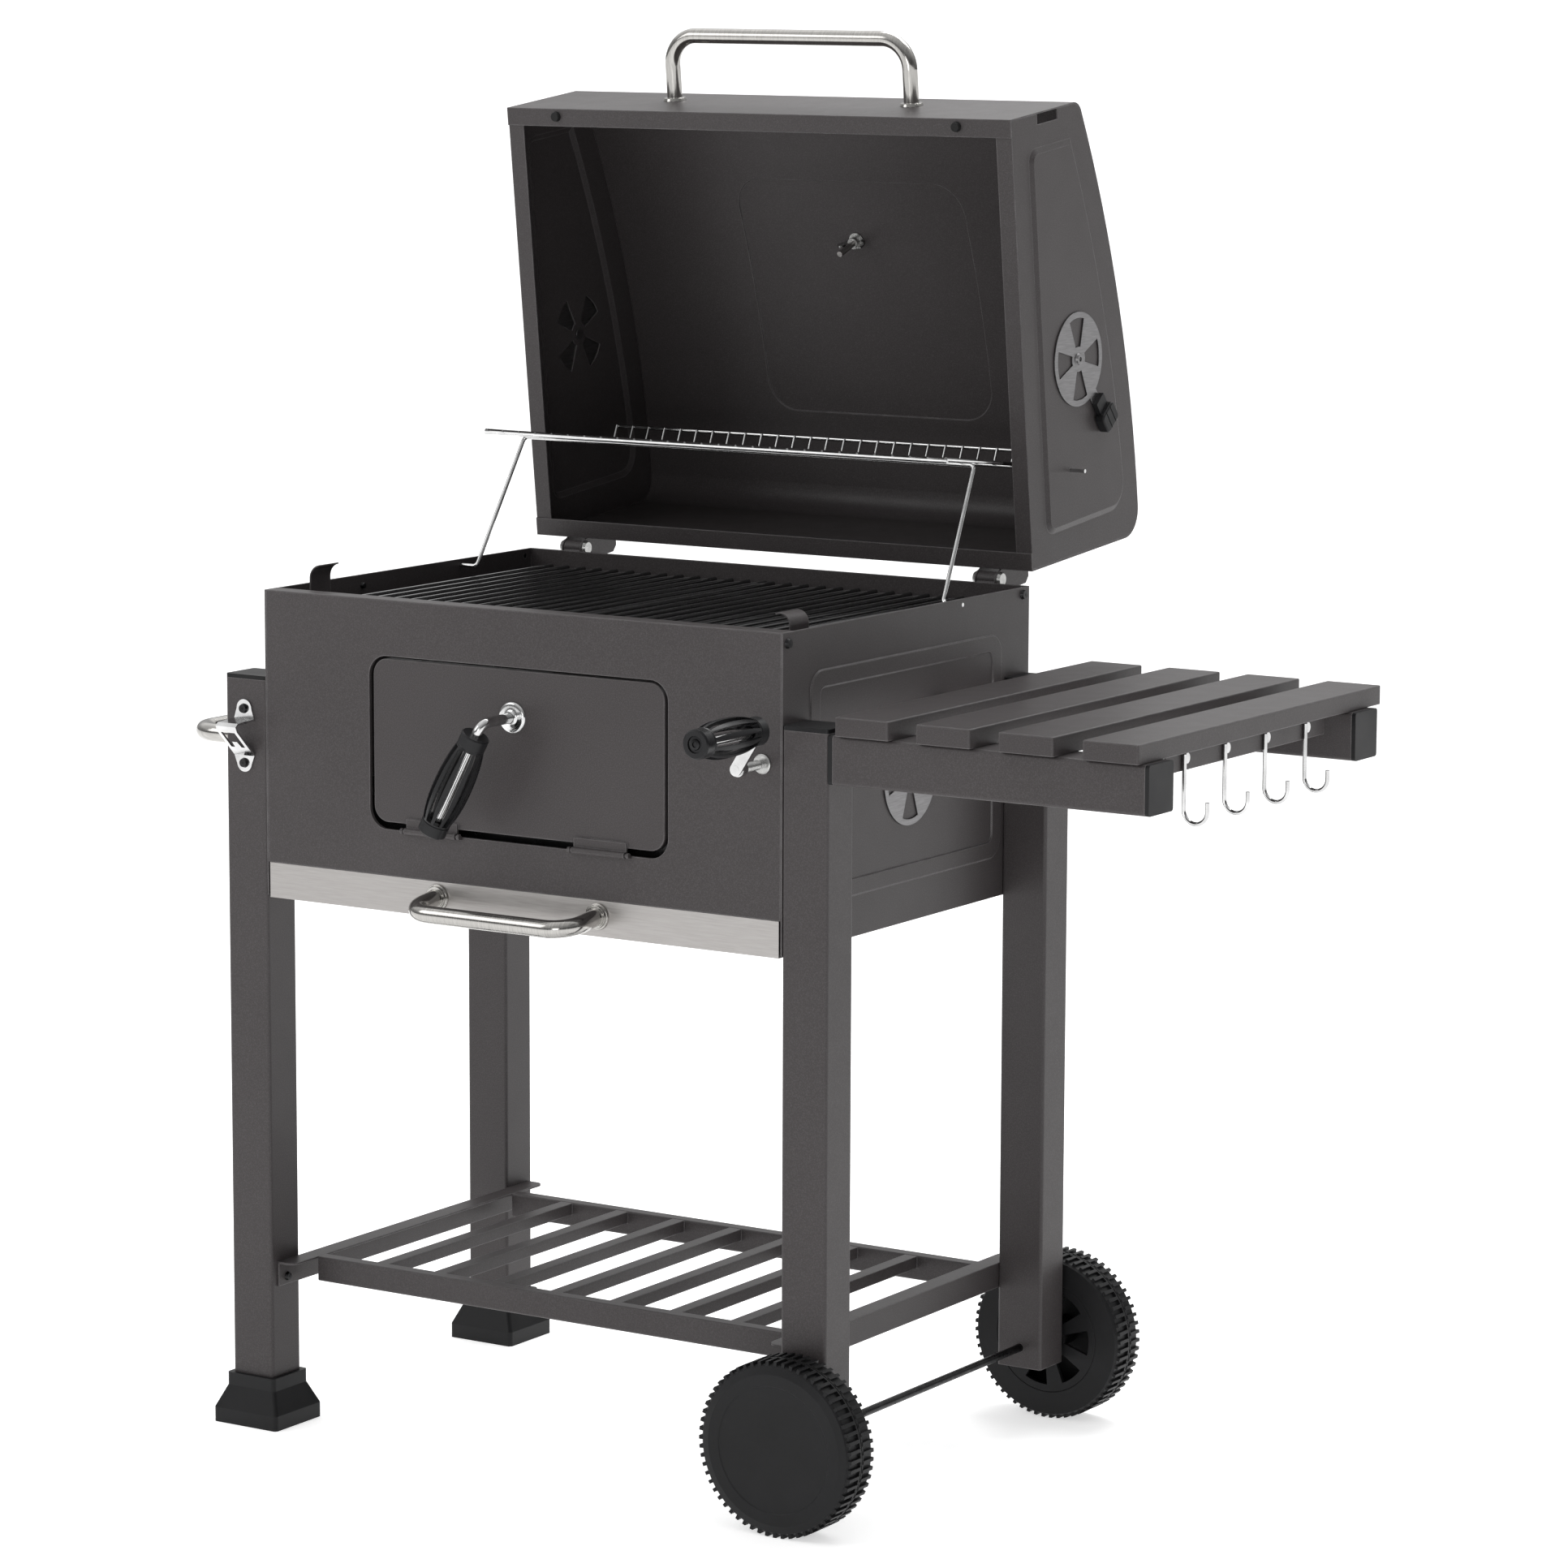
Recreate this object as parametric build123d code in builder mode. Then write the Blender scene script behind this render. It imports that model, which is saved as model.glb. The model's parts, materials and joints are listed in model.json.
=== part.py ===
from build123d import *

import os
from math import atan2, cos, degrees, hypot, radians, sin

# Charcoal barbecue cart: a box firebox with a hinged lid on four legs, with a slatted side table,
# a bottom shelf, two feet and two wheels. Millimetres, +Z up, -Y is the front, +X the table side.
# The lid is modelled in its open position, which is the rest pose.
#
# Every sub-part is drawn from the firebox: x from its middle, y from its front face and z from the
# floor. The planes level(), front() and side() carry those numbers into the part's own frame, whose
# origin is on the floor under the middle of the whole cart.

os.makedirs("parts", exist_ok=True)

# ---- driving dimensions -------------------------------------------------------------------------
ORIGIN_X = 136.6          # from the firebox middle to the middle of the whole cart
ORIGIN_Y = 256.3          # from the firebox front to the middle of the whole cart

SHEET = 1.5               # thickness of the bent steel sheets
GAP = 0.3                 # clearance between pieces that move past each other
RUNNING = 0.08            # radial clearance of a shaft in its hole

HALF_W = 300.0            # firebox, half width
DEPTH = 448.2             # firebox, front to back
TOP_Z = 840.0             # rim of the firebox
SIDE_BOTTOM_Z = 538.6     # lower edge of the side panels
FRONT_BOTTOM_Z = 571.6    # lower edge of the front and back panels

LEG_X = 49.3              # leg tube across the cart
LEG_Y = 45.0              # leg tube front to back
LEG_TOP_Z = 750.5
REAR_LEG_Y = 400.6        # front face of the rear legs
LEG_MID_X = HALF_W + LEG_X / 2
FOOT_H = 50.0
RIGHT_LEG_BOTTOM_Z = 63.7

WHEEL_R = 84.0            # over the lugs
WHEEL_W = 45.0
WHEEL_X = 325.5
AXLE_R = 4.0
FRONT_WHEEL_Y = -52.0     # outer face of the front wheel
REAR_WHEEL_Y = 498.0      # outer face of the rear wheel

TABLE_X0 = 354.0          # table arms start outside the leg and its spacer
TABLE_X1 = 680.0
ARM_Z0 = 703.5
ARM_H = 46.0
SLAT_W = 57.0
SLAT_PITCH = 86.4

DOOR_X = 173.5            # charcoal door opening, half width
DOOR_Z0 = 617.0
DOOR_Z1 = 785.5

HINGE_Y = 457.1           # lid hinge pin
HINGE_Z = 843.0
LID_LEAN = 6.6            # the open lid leans forward from upright by this many degrees
LID_HALF_W = 298.0
LID_DEPTH = 446.0
LID_BACK_H = 216.2
LID_FRONT_H = 133.6
RIM = 18.0                # width of the lid's in-turned rim

RACK_PIVOT = (525.0, 948.0)     # y, z of the warming rack's pivot in the open lid
RACK_LEG_FOOT = (321.0, 834.0)  # y, z of the leg ends in the firebox sides
RACK_LEG_TOP = (393.5, 961.3)   # y, z of the bar under the rack

CRANK_X = 278.0
CRANK_Z = 717.0
CRANK_ARM = (24.5, 38.0)        # from the spindle to the grip, x and z

PAN_X = 263.0
PAN_Y = (25.0, 425.0)
PAN_Z = 606.0             # underside, at its lowest
PAN_H = 38.0
LIFT_ARM = 90.0           # from a lift rod's pivot to the part that carries the pan
LIFT_TILT = 30.0          # the lift arms swing from this far below level to as far above
LIFT_R = 4.0
LIFT_PIVOT_Z = PAN_Z - 1.3 - LIFT_R + LIFT_ARM * sin(radians(LIFT_TILT))
LIFT_PIVOT_Y = (80.0, 300.0)
LIFT_LEVER = 44.3         # from a lift rod's pivot to its pin in the bar
LIFT_X = 270.0            # middle of the lift arms
LEVER_X = 290.5           # inner face of the lever plates

SCREW_R = 2.4
PANEL_SCREWS = ((8.5, 829.5), (436.0, 832.6))   # y, z on the firebox sides
RAIL_SCREWS = ((22.5, 150.0), (423.0, 150.0))   # y, z on the shelf rails
INNER_STUD = (156.0, 829.0)     # y, z of a stud inside the left firebox panel

DISC_R = 47.0             # air vent discs
RIVET_R = 3.2
LID_VENT = (194.0, 102.0)       # along and above the lid's rim
SIDE_VENT = (224.0, 679.0)      # y, z on the firebox sides


# ---- working planes -----------------------------------------------------------------------------
def at(x, y, z):
    """A point given from the firebox, in the part's frame."""
    return (x - ORIGIN_X, y - ORIGIN_Y, z)


def level(z, x=0.0, y=0.0):
    """A horizontal plane at height z; its sketches use x and y."""
    return Plane(origin=at(x, y, z))


def front(y, x=0.0, z=0.0):
    """An upright plane that faces the front; its sketches use x and z and extrude forward."""
    return Plane(origin=at(x, y, z), x_dir=(1, 0, 0), z_dir=(0, -1, 0))


def side(x, y=0.0, z=0.0):
    """An upright plane that faces +X; its sketches use y and z and extrude towards +X."""
    return Plane(origin=at(x, y, z), x_dir=(0, 1, 0), z_dir=(1, 0, 0))


LEAN = radians(LID_LEAN)
ALONG = Vector(0, -sin(LEAN), cos(LEAN))   # from the lid's hinge edge to its handle edge
ABOVE = Vector(0, cos(LEAN), sin(LEAN))    # from the lid's rim to its top
CORNER = Vector(*at(0, HINGE_Y, HINGE_Z)) + ALONG * 10.0 + ABOVE * 1.3


def lid_point(x, u, w):
    """A point of the lid: x across, u along the rim from the hinge edge, w above the rim."""
    return CORNER + Vector(x, 0, 0) + ALONG * u + ABOVE * w


def lid_side(x=0.0):
    """The lid's side view at x; its sketches use u and w and extrude towards -X."""
    return Plane(origin=lid_point(x, 0, 0), x_dir=ALONG, z_dir=(-1, 0, 0))


def lid_rim(w=0.0):
    """A plane parallel to the rim; its sketches use x and u and extrude out of the lid's mouth."""
    return Plane(origin=lid_point(0, 0, w), x_dir=(1, 0, 0), z_dir=-ABOVE)


def lid_front(u):
    """A plane parallel to the handle face; its sketches use x and w and extrude along u."""
    return Plane(origin=lid_point(0, u, 0), x_dir=(1, 0, 0), z_dir=ALONG)


def save(piece, name):
    piece.part.label = name
    export_step(piece.part, f"parts/{name}.step")


# ---- legs, feet and caps ------------------------------------------------------------------------
LEGS = {
    "left_front_leg": (-LEG_MID_X, 0.0, 20.0),
    "left_rear_leg": (-LEG_MID_X, REAR_LEG_Y, 20.0),
    "right_front_leg": (LEG_MID_X, 0.0, RIGHT_LEG_BOTTOM_Z),
    "right_rear_leg": (LEG_MID_X, REAR_LEG_Y, RIGHT_LEG_BOTTOM_Z),
}

for leg_name, (leg_x, leg_y, leg_z) in LEGS.items():
    with BuildPart() as leg:
        with BuildSketch(level(leg_z, leg_x, leg_y + LEG_Y / 2)):
            RectangleRounded(LEG_X, LEG_Y, 3)
            RectangleRounded(LEG_X - 2 * SHEET, LEG_Y - 2 * SHEET, 1.8, mode=Mode.SUBTRACT)
        extrude(amount=LEG_TOP_Z - leg_z)
        if leg_x > 0:
            with BuildSketch(front(leg_y + LEG_Y + 1, WHEEL_X, WHEEL_R)):
                Circle(AXLE_R + RUNNING)
            extrude(amount=LEG_Y + 2, mode=Mode.SUBTRACT)
    save(leg, leg_name)

with BuildPart() as feet:
    for foot_y in (LEG_Y / 2, REAR_LEG_Y + LEG_Y / 2):
        foot_base = level(0, -LEG_MID_X, foot_y)
        with BuildSketch(foot_base):
            RectangleRounded(LEG_X + 29.4, LEG_Y + 29.4, 4)
        extrude(amount=15)
        with BuildSketch(foot_base.offset(15)):
            RectangleRounded(LEG_X + 29.4, LEG_Y + 29.4, 4)
        with BuildSketch(foot_base.offset(37)):
            RectangleRounded(LEG_X + 10, LEG_Y + 10, 4)
        loft()
        with BuildSketch(foot_base.offset(37)):
            RectangleRounded(LEG_X + 10, LEG_Y + 10, 4)
        extrude(amount=FOOT_H - 37)
        with BuildSketch(foot_base.offset(20)):
            RectangleRounded(LEG_X, LEG_Y, 3)
        extrude(amount=FOOT_H, mode=Mode.SUBTRACT)
save(feet, "feet")

ARM_Y = (LEG_Y / 2, REAR_LEG_Y + LEG_Y / 2)
with BuildPart() as tube_caps:
    for leg_x, leg_y, leg_z in LEGS.values():
        with BuildSketch(level(LEG_TOP_Z, leg_x, leg_y + LEG_Y / 2)):
            RectangleRounded(LEG_X, LEG_Y, 3)
        extrude(amount=4)
        with BuildSketch(level(LEG_TOP_Z, leg_x, leg_y + LEG_Y / 2)):
            RectangleRounded(LEG_X - 2 * SHEET, LEG_Y - 2 * SHEET, 1.8)
        extrude(amount=-12)
    for arm_y in ARM_Y:
        for cap_x, cap_t, plug in ((TABLE_X1, 4, -12), (HALF_W + LEG_X, 4.7, 16)):
            with BuildSketch(side(cap_x, arm_y, ARM_Z0 + ARM_H / 2)):
                RectangleRounded(LEG_Y, ARM_H, 3)
            extrude(amount=cap_t)
            with BuildSketch(side(cap_x, arm_y, ARM_Z0 + ARM_H / 2)):
                RectangleRounded(LEG_Y - 2 * SHEET, ARM_H - 2 * SHEET, 1.8)
            extrude(amount=plug)
save(tube_caps, "tube_caps")

# ---- axle and wheels ----------------------------------------------------------------------------
AXLE_END = 6.0            # from a wheel's outer face to the end of the axle
with BuildPart() as wheel_axle:
    with BuildSketch(front(FRONT_WHEEL_Y + AXLE_END, WHEEL_X, WHEEL_R)):
        Circle(AXLE_R)
    extrude(amount=-(REAR_WHEEL_Y - FRONT_WHEEL_Y - 2 * AXLE_END))
    for clip_y in (FRONT_WHEEL_Y + AXLE_END, REAR_WHEEL_Y - AXLE_END - 1.2):
        with BuildSketch(front(clip_y, WHEEL_X, WHEEL_R)):
            Circle(8)
        extrude(amount=-1.2)
    for shoulder_y in (FRONT_WHEEL_Y + WHEEL_W + 1, REAR_WHEEL_Y - WHEEL_W - 3.5):
        with BuildSketch(front(shoulder_y, WHEEL_X, WHEEL_R)):
            Circle(9)
        extrude(amount=-2.5)
save(wheel_axle, "wheel_axle")

HUB_START = AXLE_END + 1.5
TREAD_R = WHEEL_R - 3.0     # between the lugs
LUGS = 60                 # in each of the two rows
with BuildSketch() as spoke_window:
    with BuildLine():
        window_inner = CenterArc((0, 0), 21, -12, 24)
        window_outer = CenterArc((0, 0), 49, -15, 30)
        Line(window_inner @ 0, window_outer @ 0)
        Line(window_inner @ 1, window_outer @ 1)
    make_face()

for wheel_name, face_y, inward in (("front_wheel", FRONT_WHEEL_Y, 1), ("rear_wheel", REAR_WHEEL_Y, -1)):
    # The wheel is turned about its axis from a half section: radius across, depth from its face.
    section = Plane(origin=at(WHEEL_X, face_y, WHEEL_R), x_dir=(1, 0, 0), z_dir=(0, 0, inward))
    with BuildPart() as wheel:
        with BuildSketch(section):
            with BuildLine():
                Polyline(
                    (0, 0.7), (60, 0.7), (61, 0), (72, 0), (79, 2), (TREAD_R, 4.5), (TREAD_R, WHEEL_W - 3),
                    (79, WHEEL_W), (57, WHEEL_W), (56.4, WHEEL_W - 0.6), (55.8, WHEEL_W),
                    (AXLE_R + RUNNING, WHEEL_W), (AXLE_R + RUNNING, HUB_START), (15, HUB_START),
                    (15, WHEEL_W - 4), (76, WHEEL_W - 4), (76, 4), (0, 4),
                    close=True,
                )
            make_face()
        revolve(axis=Axis(section.origin, (0, 1, 0)))
        spokes = Plane(origin=at(WHEEL_X, face_y + (WHEEL_W - 6) * inward, WHEEL_R), x_dir=(1, 0, 0),
                       z_dir=(0, inward, 0))
        with BuildSketch(spokes):
            with PolarLocations(0, 7):
                add(spoke_window.sketch)
        extrude(amount=8, mode=Mode.SUBTRACT)
        lugs = Plane(origin=at(WHEEL_X, face_y, WHEEL_R), x_dir=(1, 0, 0), z_dir=(0, inward, 0))
        for row_depth, turn in ((3, 0), (24.5, 180 / LUGS)):
            with BuildSketch(lugs.offset(row_depth)):
                with PolarLocations(WHEEL_R - 2.5, LUGS, start_angle=turn):
                    Rectangle(5, 3.4)
            extrude(amount=17.5)
        for ring_depth in (20, 23):
            with BuildSketch(lugs.offset(ring_depth)):
                Circle(WHEEL_R - 0.6)
                Circle(TREAD_R - 1, mode=Mode.SUBTRACT)
            extrude(amount=2)
    save(wheel, wheel_name)

# ---- bottom shelf -------------------------------------------------------------------------------
SHELF_TOP = 167.0
SHELF_H = 25.0
RAIL_FLANGE = 20.0
SHELF_Y0 = 49.0
SHELF_Y1 = REAR_LEG_Y - 4.0
SHELF_RAIL_D = 15.0

with BuildPart() as shelf_side_rails:
    for hand in (-1, 1):
        with BuildSketch(front(440)):
            with BuildLine():
                Polyline(
                    (hand * HALF_W, SHELF_TOP), (hand * HALF_W, SHELF_TOP - SHELF_H),
                    (hand * (HALF_W - 2), SHELF_TOP - SHELF_H), (hand * (HALF_W - 2), SHELF_TOP - 2),
                    (hand * (HALF_W - RAIL_FLANGE), SHELF_TOP - 2),
                    (hand * (HALF_W - RAIL_FLANGE), SHELF_TOP), close=True,
                )
            make_face()
        extrude(amount=431)
    fillet(shelf_side_rails.edges().filter_by(Axis.Z).filter_by(
        lambda edge: abs(abs(edge.center().X + ORIGIN_X) - HALF_W + RAIL_FLANGE) < 1), radius=9)
    for hand in (-1, 1):
        with BuildSketch(side(hand * HALF_W)):
            with Locations(RAIL_SCREWS):
                Circle(SCREW_R + 0.1)
        extrude(amount=-hand * 4, mode=Mode.SUBTRACT)
save(shelf_side_rails, "shelf_side_rails")

with BuildPart() as shelf:
    for rail_y in (SHELF_Y0 + SHELF_RAIL_D / 2, SHELF_Y1 - SHELF_RAIL_D / 2):
        with Locations(at(0, rail_y, SHELF_TOP - SHELF_H / 2)):
            Box(2 * (HALF_W - RAIL_FLANGE) - 0.4, SHELF_RAIL_D, SHELF_H)
    fillet(shelf.edges().filter_by(Axis.X), radius=2)
    with Locations(at(0, (SHELF_Y0 + SHELF_Y1) / 2, SHELF_TOP - 6.5)):
        with GridLocations(70, 0, 7, 1):
            Box(14, SHELF_Y1 - SHELF_Y0 - 2 * SHELF_RAIL_D, 12)
save(shelf, "shelf")

# ---- firebox panels -----------------------------------------------------------------------------
LIP = 20.0                # top fold of the front panel, front to back
LEDGE_Z = 814.7           # where the cooking grates rest
INNER_X = HALF_W - SHEET - 0.3

with BuildPart() as firebox_front:
    with BuildSketch(side(0)):
        with BuildLine():
            Polyline(
                (0, FRONT_BOTTOM_Z), (0, TOP_Z), (LIP, TOP_Z), (LIP, LEDGE_Z), (LIP + 12, LEDGE_Z),
                (LIP + 12, LEDGE_Z - SHEET), (LIP - SHEET, LEDGE_Z - SHEET),
                (LIP - SHEET, TOP_Z - SHEET), (SHEET, TOP_Z - SHEET),
                (SHEET, FRONT_BOTTOM_Z + SHEET), (12, FRONT_BOTTOM_Z + SHEET), (12, FRONT_BOTTOM_Z),
                close=True,
            )
        make_face()
    extrude(amount=INNER_X, both=True)
    with BuildSketch(front(0)):
        with Locations((0, (DOOR_Z0 + DOOR_Z1) / 2)):
            RectangleRounded(2 * DOOR_X + 2 * SHEET, DOOR_Z1 - DOOR_Z0 + 2 * SHEET, 21.5)
    extrude(amount=-4)
    with BuildSketch(front(-1)):
        with Locations((0, (DOOR_Z0 + DOOR_Z1) / 2)):
            RectangleRounded(2 * DOOR_X, DOOR_Z1 - DOOR_Z0, 20)
    extrude(amount=-6, mode=Mode.SUBTRACT)
    with BuildSketch(front(-1, CRANK_X, CRANK_Z)):
        Circle(AXLE_R + 3)
    extrude(amount=-4, mode=Mode.SUBTRACT)
    fillet(firebox_front.edges().filter_by(Axis.X).group_by(Axis.Z)[-1].sort_by(Axis.Y)[0], radius=1.2)
save(firebox_front, "firebox_front")


def vent_windows(turn):
    """Four air windows about the origin, turned by an angle in degrees."""
    with BuildSketch() as window:
        with BuildLine():
            inner_arc = CenterArc((0, 0), 12.5, -21, 42)
            outer_arc = CenterArc((0, 0), 41, -20, 40)
            Line(inner_arc @ 0, outer_arc @ 0)
            Line(inner_arc @ 1, outer_arc @ 1)
        make_face()
    with BuildSketch() as windows:
        with PolarLocations(0, 4, start_angle=turn):
            add(window.sketch)
    return windows.sketch


BEAD_Y = (47.0, 395.0)    # the pressed bead of a side panel, outer edges
BEAD_Z = (578.0, 799.0)
BEAD_W = 17.0
BEAD_H = 1.2
bead_mid = ((BEAD_Y[0] + BEAD_Y[1]) / 2, (BEAD_Z[0] + BEAD_Z[1]) / 2)
bead_size = (BEAD_Y[1] - BEAD_Y[0], BEAD_Z[1] - BEAD_Z[0])

for panel_name, hand in (("firebox_left", -1), ("firebox_right", 1)):
    with BuildPart() as panel:
        with BuildSketch(side(hand * HALF_W)):
            with Locations((DEPTH / 2, (SIDE_BOTTOM_Z + TOP_Z) / 2)):
                Rectangle(DEPTH, TOP_Z - SIDE_BOTTOM_Z)
        extrude(amount=-hand * SHEET)
        with BuildSketch(front(DEPTH - 2)):
            with Locations((hand * (HALF_W - 7.5), SIDE_BOTTOM_Z + SHEET / 2)):
                Rectangle(15, SHEET)
        extrude(amount=DEPTH - 20)
        for grow, base, mode in ((0, HALF_W, Mode.ADD), (-1.5, HALF_W - SHEET, Mode.SUBTRACT)):
            with BuildSketch(side(hand * base)):
                with Locations(bead_mid):
                    RectangleRounded(bead_size[0] + 2 * grow, bead_size[1] + 2 * grow, 20 + grow)
                    RectangleRounded(bead_size[0] - 2 * (BEAD_W + grow), bead_size[1] - 2 * (BEAD_W + grow),
                                     8 - grow, mode=Mode.SUBTRACT)
            extrude(amount=hand * BEAD_H, mode=mode)
        bead_edges = panel.faces().sort_by(Axis.X)[-1 if hand > 0 else 0].edges()
        chamfer(bead_edges, length=0.9)
        with BuildSketch(side(hand * (HALF_W + 3), *SIDE_VENT)):
            add(vent_windows(45))
            Circle(RIVET_R)
        extrude(amount=-hand * 8, mode=Mode.SUBTRACT)
        with BuildSketch(side(hand * (HALF_W + 3))):
            with Locations(RACK_LEG_FOOT):
                Circle(2.0 + RUNNING)
            with Locations(PANEL_SCREWS + ((INNER_STUD,) if hand < 0 else ())):
                Circle(SCREW_R + 0.1)
        extrude(amount=-hand * 8, mode=Mode.SUBTRACT)
        with BuildSketch(side(hand * (HALF_W - SHEET))):
            with Locations([(pivot_y, LIFT_PIVOT_Z) for pivot_y in LIFT_PIVOT_Y]):
                Circle(8)
                Circle(LIFT_R + RUNNING, mode=Mode.SUBTRACT)
        extrude(amount=-hand * 4)
    save(panel, panel_name)

with BuildPart() as firebox_back:
    with BuildSketch(side(0)):
        with BuildLine():
            Polyline(
                (DEPTH, FRONT_BOTTOM_Z), (DEPTH, TOP_Z), (DEPTH - SHEET, TOP_Z), (DEPTH - SHEET, LEDGE_Z),
                (DEPTH - 14, LEDGE_Z), (DEPTH - 14, LEDGE_Z - SHEET), (DEPTH - SHEET, LEDGE_Z - SHEET),
                (DEPTH - SHEET, FRONT_BOTTOM_Z + SHEET), (DEPTH - 12, FRONT_BOTTOM_Z + SHEET),
                (DEPTH - 12, FRONT_BOTTOM_Z), close=True,
            )
        make_face()
    extrude(amount=INNER_X, both=True)
save(firebox_back, "firebox_back")

# Curled tabs that stand just inside the lid's rim and centre it, with the feet that carry them.
TAB_X = 279.4
with BuildPart() as guide_tabs:
    for hand, post_top_z, curl_r, curl in ((-1, 848, 13, 80), (1, 840.5, 11, 115)):
        with BuildSketch(front(77)):
            with BuildLine():
                tab_foot = Line((hand * INNER_X, 805), (hand * (TAB_X - 0.75), 805))
                tab_post = Line(tab_foot @ 1, (hand * (TAB_X - 0.75), post_top_z))
                tab_curl = JernArc(tab_post @ 1, tab_post % 1, curl_r, hand * curl)
            trace(line_width=SHEET)
        extrude(amount=32)
        fillet(guide_tabs.edges().filter_by(Axis.Z), radius=0.3)
save(guide_tabs, "guide_tabs")

# ---- ash drawer ---------------------------------------------------------------------------------
DRAWER_X = 283.0
with BuildPart() as ash_drawer:
    with Locations(at(0, 225.5, 554.7)):
        Box(2 * DRAWER_X, 447 - 12, 27.6)
    fillet(ash_drawer.edges().filter_by(Axis.Z), radius=6)
    ash_tray_top = ash_drawer.faces().sort_by(Axis.Z)[-1]
    offset(amount=-1.2, openings=ash_tray_top)
save(ash_drawer, "ash_drawer")

with BuildPart() as ash_drawer_front:
    with BuildSketch(level(536.5)):
        with BuildLine():
            Polyline(
                (-296.5, 0), (296.5, 0), (296.5, 14), (295, 14), (295, SHEET), (-295, SHEET),
                (-295, 14), (-296.5, 14), close=True,
            )
        make_face()
    extrude(amount=FRONT_BOTTOM_Z - GAP - 536.5)
    for web_x in (-250, 0, 250):
        with Locations(at(web_x, 4.5, 550)):
            Box(30, 7, 14)
save(ash_drawer_front, "ash_drawer_front")


def bent_rod(points, bend, rod_r):
    """A round rod or tube bent along a line of points."""
    with BuildPart() as rod:
        with BuildLine() as line:
            FilletPolyline(*points, radius=bend)
        with BuildSketch(Plane(origin=line.line @ 0, z_dir=line.line % 0)):
            Circle(rod_r)
        sweep(path=line.line)
    return rod.part


with BuildPart() as ash_drawer_handle:
    add(bent_rod([at(-93.5, 5, 557), at(-93.5, -50, 549), at(93.5, -50, 549), at(93.5, 5, 557)], 26, 8.5))
    split(bisect_by=front(0), keep=Keep.TOP)
    for hand in (-1, 1):
        for collar_r, collar_y in ((13.2, 0), (11.4, -2.4)):
            with BuildSketch(front(collar_y, hand * 93.5, 556)):
                Circle(collar_r)
            extrude(amount=2.4, taper=12)
save(ash_drawer_handle, "ash_drawer_handle")

# ---- push handle on the left legs ---------------------------------------------------------------
PUSH_X = -HALF_W - LEG_X
with BuildPart() as push_handle:
    push_points = [at(PUSH_X, 22, 690), at(-409, 22, 690), at(-409, 423.6, 690), at(PUSH_X, 423.6, 690)]
    add(bent_rod(push_points, 30, 9))
    for push_y in (22, 423.6):
        with BuildSketch(side(PUSH_X, push_y, 690)):
            Circle(15)
        extrude(amount=-3, taper=20)
save(push_handle, "push_handle")

# ---- bottle opener ------------------------------------------------------------------------------
OPENER_X = -325.5
OPENER_SCREW_Z = (721.4, 667.6)
OPENER_T = 2.0
with BuildPart() as bottle_opener:
    with BuildSketch(side(OPENER_X)):
        with BuildLine():
            Polyline((-1, 730.4), (-1, 710.5), (-27, 709), (-30, 706.5), (-28, 702), (-1, 675.4),
                     (-1, 658.6))
        trace(line_width=OPENER_T)
    extrude(amount=12.3, both=True)
    # Seen from the front, the ends round off about their screws.
    with BuildSketch(front(20, OPENER_X)):
        with Locations((0, OPENER_SCREW_Z[0])):
            Circle(9)
        with Locations((0, OPENER_SCREW_Z[1])):
            Circle(9)
        with BuildLine():
            Polyline((-9, 721.4), (9, 721.4), (12.3, 711), (12.3, 675), (8.9, 666.3), (-8.9, 666.3),
                     (-12.3, 675), (-12.3, 711), close=True)
        make_face()
    extrude(amount=60, mode=Mode.INTERSECT)
    with BuildSketch(front(20, OPENER_X)):
        with Locations([(0, z) for z in OPENER_SCREW_Z]):
            Circle(SCREW_R + 0.1)
    extrude(amount=60, mode=Mode.SUBTRACT)
    # The mouth takes the cap; its lower edge carries the tooth.
    with BuildSketch(front(-2.5, OPENER_X)):
        with BuildLine():
            Polyline((-8.5, 684), (-8.5, 700.5), (8.5, 700.5), (8.5, 684), (4, 684), (3, 690), (-3, 690),
                     (-4, 684), close=True)
        make_face()
    extrude(amount=40, mode=Mode.SUBTRACT)
save(bottle_opener, "bottle_opener")

# ---- side table ---------------------------------------------------------------------------------
with BuildPart() as table_arms:
    for arm_y in ARM_Y:
        with BuildSketch(side(TABLE_X0, arm_y, ARM_Z0 + ARM_H / 2)):
            RectangleRounded(LEG_Y, ARM_H, 3)
            RectangleRounded(LEG_Y - 2 * SHEET, ARM_H - 2 * SHEET, 1.8, mode=Mode.SUBTRACT)
        extrude(amount=TABLE_X1 - TABLE_X0)
save(table_arms, "table_arms")

SLAT_Z = ARM_Z0 + ARM_H + 0.5
SLAT_T = 18.0
TABLE_MIDDLE = (518.1, 231.0)
with BuildPart() as table_slats:
    with Locations(at(*TABLE_MIDDLE, SLAT_Z + SLAT_T / 2)):
        with GridLocations(SLAT_PITCH, 0, 4, 1):
            Box(SLAT_W, 474, SLAT_T)
    fillet(table_slats.edges().filter_by(Axis.Z), radius=2)
    fillet(table_slats.faces().group_by(Axis.Z)[-1].edges(), radius=1.2)
    with BuildSketch(level(SLAT_Z, *TABLE_MIDDLE)):
        with GridLocations(SLAT_PITCH, 0, 4, 1):
            Rectangle(SLAT_W - 2 * SHEET, 474 - 2 * SHEET)
    extrude(amount=SLAT_T - SHEET, mode=Mode.SUBTRACT)
save(table_slats, "table_slats")

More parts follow.
